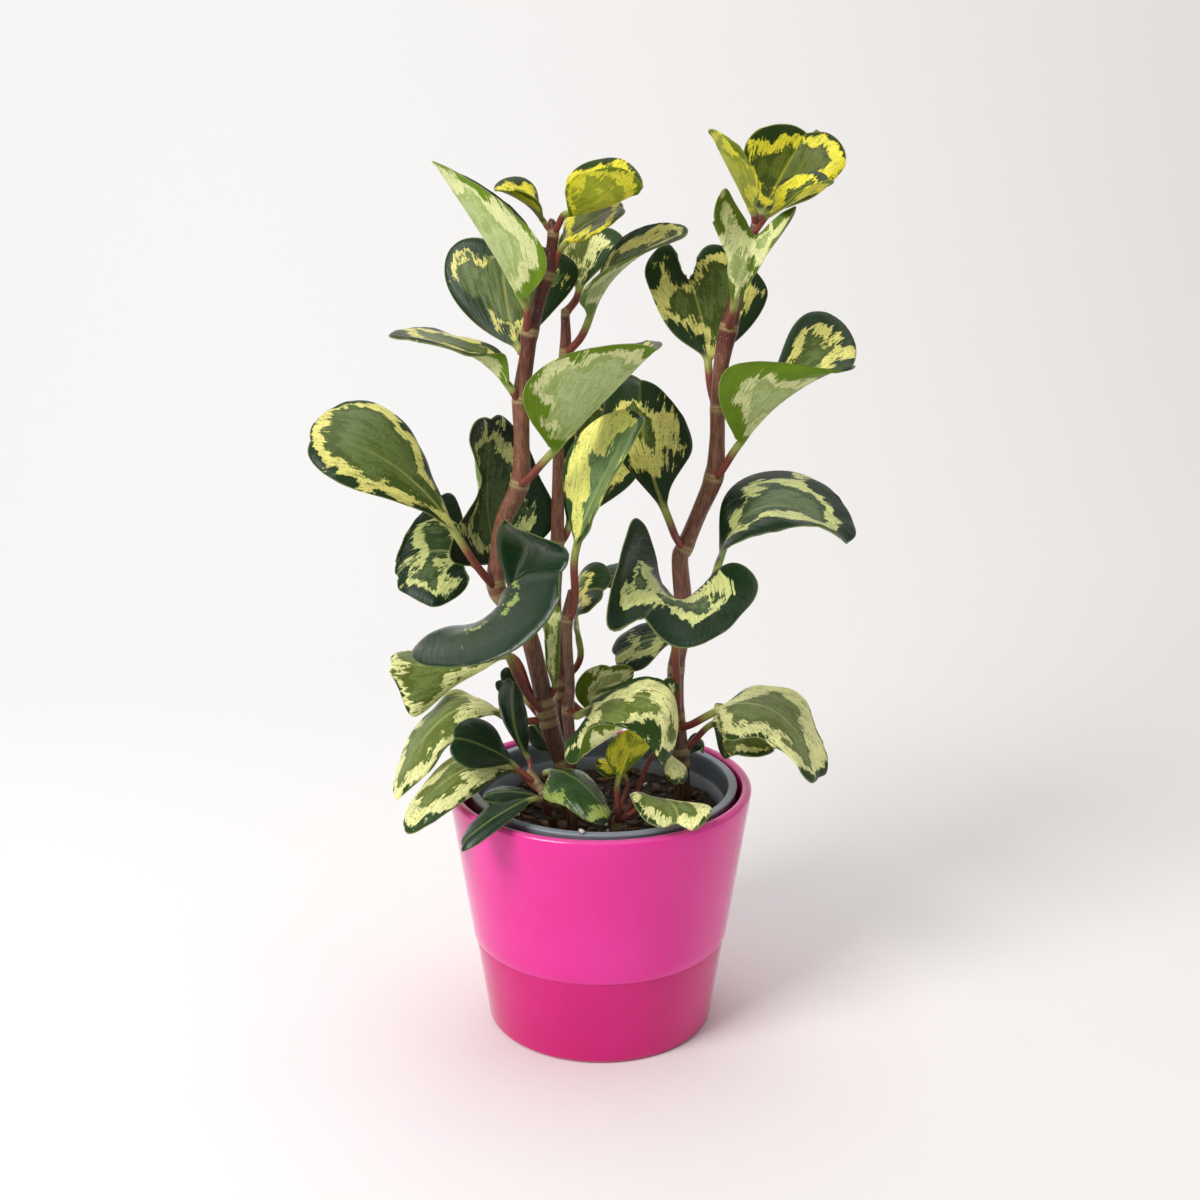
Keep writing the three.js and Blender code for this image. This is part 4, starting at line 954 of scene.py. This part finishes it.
def zone_group():
    """Leaf colours from the distance to the margin: green margin, cream band, grey centre.
    Streaks fan out from the leaf's foot and make each zone's border feathery."""
    tree = bpy.data.node_groups.new("leaf_zones", "ShaderNodeTree")
    for name in ZONE_COLOURS:
        group_socket(tree, name, "Color")
    group_socket(tree, "Place", "Vector")
    for name in ("Edge", "Margin", "Band", "Lean"):
        group_socket(tree, name, "Float")
    group_socket(tree, "Colour", "Color", "OUTPUT")
    group_socket(tree, "Relief", "Float", "OUTPUT")
    given = tree.nodes.new("NodeGroupInput").outputs
    parts = split(tree, given["Place"])
    behind = maths(tree, "ADD", parts["Y"], 1.2)
    angle = maths(tree, "ARCTAN2", parts["X"], behind)
    square = scaled(tree, behind, behind, times(tree, parts["X"], parts["X"]))
    reach = maths(tree, "SQRT", square)

    def fan(turns, lengths):
        """Coordinates that run out from the leaf's foot like the streaks do."""
        x = times(tree, angle, turns)
        y = times(tree, reach, lengths)
        return node(tree, "ShaderNodeCombineXYZ", inputs={0: x, 1: y, 2: parts["Z"]}).outputs[0]

    def stray(pattern, width, onto):
        """Moves a border either way by a pattern of 0 to 1."""
        return scaled(tree, maths(tree, "SUBTRACT", pattern, 0.5), width, onto)

    streak = noise(tree, fan(17.0, 0.55), 1.0, 4.0, 0.6)
    fine = noise(tree, fan(48.0, 1.5), 1.0, 3.0, 0.6)
    patch = noise(tree, fan(7.0, 0.5), 1.0, 3.0, 0.55)
    broad = noise(tree, given["Place"], 0.7, 1.0)
    lace = noise(tree, given["Place"], 5.0, 4.0, 0.62)
    wander = times(tree, maths(tree, "SUBTRACT", broad, 0.5), 36.0)
    wander = stray(streak, 17.0, wander)
    wander = stray(fine, 13.0, wander)
    wander = stray(lace, 8.0, wander)
    size = scaled(tree, given["Margin"], 0.06, 0.3)
    border = scaled(tree, wander, size, given["Edge"])
    outer = ramp(tree, maths(tree, "SUBTRACT", border, given["Margin"]), 0.4, -0.4)
    wander_in = stray(fine, 16.0, wander)
    wander_in = stray(patch, 18.0, wander_in)
    wander_in = stray(lace, 16.0, wander_in)
    pinch = scaled(tree, ramp(tree, noise(tree, given["Place"], 0.9, 1.0), 0.34, 0.66), 5.0, -2.5)
    deep = maths(tree, "ADD", maths(tree, "ADD", given["Margin"], given["Band"]), pinch)
    inner_border = maths(tree, "SUBTRACT", scaled(tree, wander_in, 0.3, given["Edge"]), deep)
    half = maths(tree, "MAXIMUM", maths(tree, "MINIMUM", times(tree, parts["X"], 4.0), 1.0), -1.0)
    inner_border = scaled(tree, half, given["Lean"], inner_border)
    inner = ramp(tree, inner_border, -0.5, 0.6)
    olive_ring = ramp(tree, stray(patch, 24.0, inner_border), 4.2, 3.4)
    olive_patch = ramp(tree, streak, 0.57, 0.6)
    olive = maths(tree, "MAXIMUM", times(tree, olive_ring, 0.85), times(tree, olive_patch, 0.6))
    centre = mix(tree, olive, given["Centre colour"], given["Streak colour"])
    centre = mix(tree, times(tree, ramp(tree, fine, 0.45, 0.62), 0.3), centre, given["Streak colour"])
    cream = mix(tree, times(tree, ramp(tree, fine, 0.42, 0.66), 0.3),
                given["Band colour"], given["Centre colour"])
    inside = mix(tree, inner, cream, centre)
    whole = mix(tree, outer, inside, given["Margin colour"])
    within = maths(tree, "SUBTRACT", 1.0, outer)
    strands = times(tree, ramp(tree, fine, 0.64, 0.68), within)
    whole = mix(tree, times(tree, strands, 0.55), whole, given["Streak colour"])
    dots = noise(tree, given["Place"], 14.0, 3.0, 0.6)
    dotted = times(tree, ramp(tree, dots, 0.57, 0.63), ramp(tree, patch, 0.4, 0.56))
    dotted = times(tree, times(tree, dotted, within), 0.7)
    whole = mix(tree, dotted, whole, given["Margin colour"])
    shine = scaled(tree, noise(tree, fan(9.0, 3.0), 1.0, 3.0), 0.4, 0.8)
    tinted = node(tree, "ShaderNodeHueSaturation", inputs={"Color": whole, "Value": shine}).outputs[0]
    # Painted light: a thin pale line along the margin stands for light shining through the leaf's thin edge.
    line = ramp(tree, given["Edge"], 0.5, 0.2)
    whole = mix(tree, times(tree, line, 0.2), tinted, given["Band colour"])
    # The midrib is mixed towards the band colour: partly its own paler colour, partly a painted highlight
    # along its groove.
    beside = maths(tree, "ABSOLUTE", parts["X"])
    rib = times(tree, ramp(tree, beside, 0.1, 0.02), ramp(tree, parts["Y"], 7.0, 1.0))
    whole = mix(tree, times(tree, rib, 0.3), whole, given["Band colour"])
    relief = times(tree, noise(tree, given["Place"], 26.0, 3.0), 0.5)
    relief = scaled(tree, noise(tree, fan(26.0, 0.8), 1.0, 2.0), 1.5, relief)
    ends = tree.nodes.new("NodeGroupOutput")
    tree.links.new(whole, ends.inputs["Colour"])
    tree.links.new(relief, ends.inputs["Relief"])
    return tree


def leaf_material(name, upper_set, under_set, gloss, gleam):
    """Waxy skin over one set of zone colours above and one below, on a red-flushed stalk."""
    material, tree, shader = new_material(name)
    place = kept(tree, "leaf_place", "Vector")
    depth = kept(tree, "leaf_depth", "Vector")
    style = kept(tree, "leaf_style", "Vector")
    edge = split(tree, depth)
    widths = split(tree, style)
    upper = ramp(tree, edge["Z"], 0.35, 0.65)
    zones = node(tree, "ShaderNodeGroup", node_tree=ZONES)
    for label, over, under in zip(ZONE_COLOURS, upper_set, under_set):
        tree.links.new(tones(tree, upper, under, over), zones.inputs[label])
    for label, value in (("Place", place), ("Edge", edge["X"]), ("Margin", widths["X"]),
                         ("Band", widths["Y"]), ("Lean", widths["Z"])):
        tree.links.new(value, zones.inputs[label])
    fleck = noise(tree, object_place(tree), 900.0, 3.0, 0.6)
    pale = tones(tree, fleck, (134, 144, 66), (186, 192, 112))
    red = tones(tree, fleck, (106, 38, 36), (158, 92, 76))
    flush = ramp(tree, scaled(tree, fleck, 0.5, edge["Y"]), 0.24, 0.58)
    stalk = mix(tree, flush, pale, red)
    is_stalk = ramp(tree, edge["Y"], -1.0, 0.05)
    tree.links.new(mix(tree, is_stalk, zones.outputs["Colour"], stalk), shader.inputs["Base Color"])
    rough = scaled(tree, upper, gloss - 0.52, 0.52)
    rough = scaled(tree, noise(tree, place, 6.0, 3.0), 0.16, rough)
    tree.links.new(maths(tree, "SUBTRACT", rough, 0.08), shader.inputs["Roughness"])
    shader.inputs["Specular IOR Level"].default_value = gleam
    shader.inputs["Subsurface Weight"].default_value = 0.06
    shader.inputs["Subsurface Radius"].default_value = (0.6, 1.0, 0.3)
    shader.inputs["Subsurface Scale"].default_value = 0.001
    bump(tree, shader, zones.outputs["Relief"], 0.5, 0.5)
    return material


ZONES = zone_group()
# Each colouring: the zone colours above, the same below, roughness and gleam.
# The green margin colours below are partly the underside's own paler green and partly painted light shining
# through the leaf.
PALETTES = {
    "variegated": (((30, 54, 20), (228, 220, 124), (98, 116, 56), (68, 84, 24)),
                   ((104, 136, 18), (226, 228, 164), (190, 204, 140), (160, 178, 100)), 0.3, 0.25),
    "laced": (((24, 46, 22), (216, 220, 142), (94, 114, 68), (48, 72, 36)),
              ((98, 128, 30), (212, 218, 152), (172, 188, 126), (138, 156, 88)), 0.26, 0.25),
    "young": (((40, 60, 14), (240, 228, 60), (98, 110, 32), (64, 78, 16)),
              ((102, 124, 20), (224, 216, 58), (186, 186, 58), (142, 152, 38)), 0.34, 0.2),
    "bright": (((44, 76, 40), (252, 248, 134), (132, 158, 104), (96, 128, 76)),
               ((92, 124, 40), (232, 228, 120), (160, 180, 110), (128, 150, 80)), 0.32, 0.25),
    "pale": (((42, 68, 20), (242, 240, 166), (126, 140, 74), (98, 112, 44)),
             ((92, 114, 26), (224, 226, 160), (180, 194, 128), (150, 166, 94)), 0.36, 0.2),
    "dark": (((18, 48, 20), (160, 176, 90), (40, 70, 32), (56, 84, 40)),
             ((88, 114, 40), (190, 198, 120), (120, 144, 76), (98, 124, 52)), 0.16, 0.5),
}
leaf_skins = {kind: leaf_material(f"leaf_{kind}_skin", *sets) for kind, sets in PALETTES.items()}
for number, (name, stem, height, kind, look, points, form) in enumerate(LEAVES):
    leaf = leaf_mesh(name, stem, height, look, points, form, number + 1)
    shade(leaf, leaf_skins[kind])
    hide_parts("leaf_" + name)


# Stage. A large pale sweep of seamless paper: floor, a wide curve and a wall behind.
# Soft light comes from a big window-like panel at the front left and a fill at the right.
PAPER_FRONT = -1.6
PAPER_BACK = 0.95
PAPER_HALF_WIDTH = 2.6
PAPER_CURVE = 0.5
PAPER_TOP = 2.4
CAMERA_DISTANCE = 0.694
CAMERA_HEIGHT = 0.392
CAMERA_PITCH = 15.8
LENS = 50
SENSOR = 36
LIGHT_TARGET = (0, 0, 0.2)
AIR_COLOUR = (0.93, 0.95, 1.0, 1)
AIR_STRENGTH = 0.38


def paper_material():
    """Matt off-white paper, with painted shade making it a touch warmer and darker to the right."""
    material, tree, shader = new_material("backdrop_paper")
    place = object_place(tree)
    side = split(tree, place)["X"]
    # Painted shade: the tone warms and darkens a little towards the right, away from the key light.
    tone = tones(tree, ramp(tree, side, -0.4, 0.7), (243, 242, 241), (243, 239, 235))
    tree.links.new(tone, shader.inputs["Base Color"])
    tree.links.new(scaled(tree, noise(tree, place, 300.0, 2.0), 0.1, 0.75), shader.inputs["Roughness"])
    return material


sweep = [(PAPER_FRONT, 0), (PAPER_BACK - PAPER_CURVE, 0)]
for angle in np.linspace(0, math.pi / 2, 25)[1:]:
    sweep.append((PAPER_BACK - PAPER_CURVE + PAPER_CURVE * math.sin(angle),
                  PAPER_CURVE - PAPER_CURVE * math.cos(angle)))
sweep += [(PAPER_BACK, PAPER_TOP)]
paper_points = [(x / MM, y / MM, z / MM) for y, z in sweep for x in (-PAPER_HALF_WIDTH, PAPER_HALF_WIDTH)]
paper_faces = [(2 * k, 2 * k + 1, 2 * k + 3, 2 * k + 2) for k in range(len(sweep) - 1)]
paper = mesh_piece("paper_sweep", paper_points, paper_faces)
paper.data.materials.append(paper_material())
paper.data.polygons.foreach_set("use_smooth", [True] * len(paper.data.polygons))


def panel(name, place, size, power, colour):
    """A soft rectangular light aimed at the plant."""
    light = bpy.data.lights.new(name, "AREA")
    light.shape = "RECTANGLE"
    light.size, light.size_y = size
    light.energy = power
    light.color = colour
    obj = bpy.data.objects.new(name, light)
    bpy.context.scene.collection.objects.link(obj)
    obj.location = place
    aim = np.subtract(LIGHT_TARGET, place)
    flat = math.hypot(aim[0], aim[1])
    turn = math.atan2(aim[1], aim[0]) - math.pi / 2
    obj.rotation_euler = (math.pi / 2 + math.atan2(aim[2], flat), 0, turn)


panel("key_panel", (-0.9, -0.9, 1.25), (0.7, 0.7), 20.5, (1.0, 0.99, 0.97))
panel("fill_panel", (1.2, -0.7, 0.7), (1.0, 1.2), 0.4, (1.0, 0.97, 0.94))
panel("top_panel", (0.1, 0.2, 1.5), (1.2, 1.0), 6, (1.0, 1.0, 1.0))

world = bpy.data.worlds.new("studio_air")
world.use_nodes = True
air = world.node_tree.nodes["Background"].inputs
air["Color"].default_value = AIR_COLOUR
air["Strength"].default_value = AIR_STRENGTH
bpy.context.scene.world = world

lens = bpy.data.cameras.new("camera")
lens.lens = LENS
lens.sensor_width = SENSOR
eye = bpy.data.objects.new("camera", lens)
bpy.context.scene.collection.objects.link(eye)
eye.location = (0, -CAMERA_DISTANCE, CAMERA_HEIGHT)
eye.rotation_euler = (math.radians(90 - CAMERA_PITCH), 0, 0)
bpy.context.scene.camera = eye
bpy.context.scene.view_settings.view_transform = "Standard"
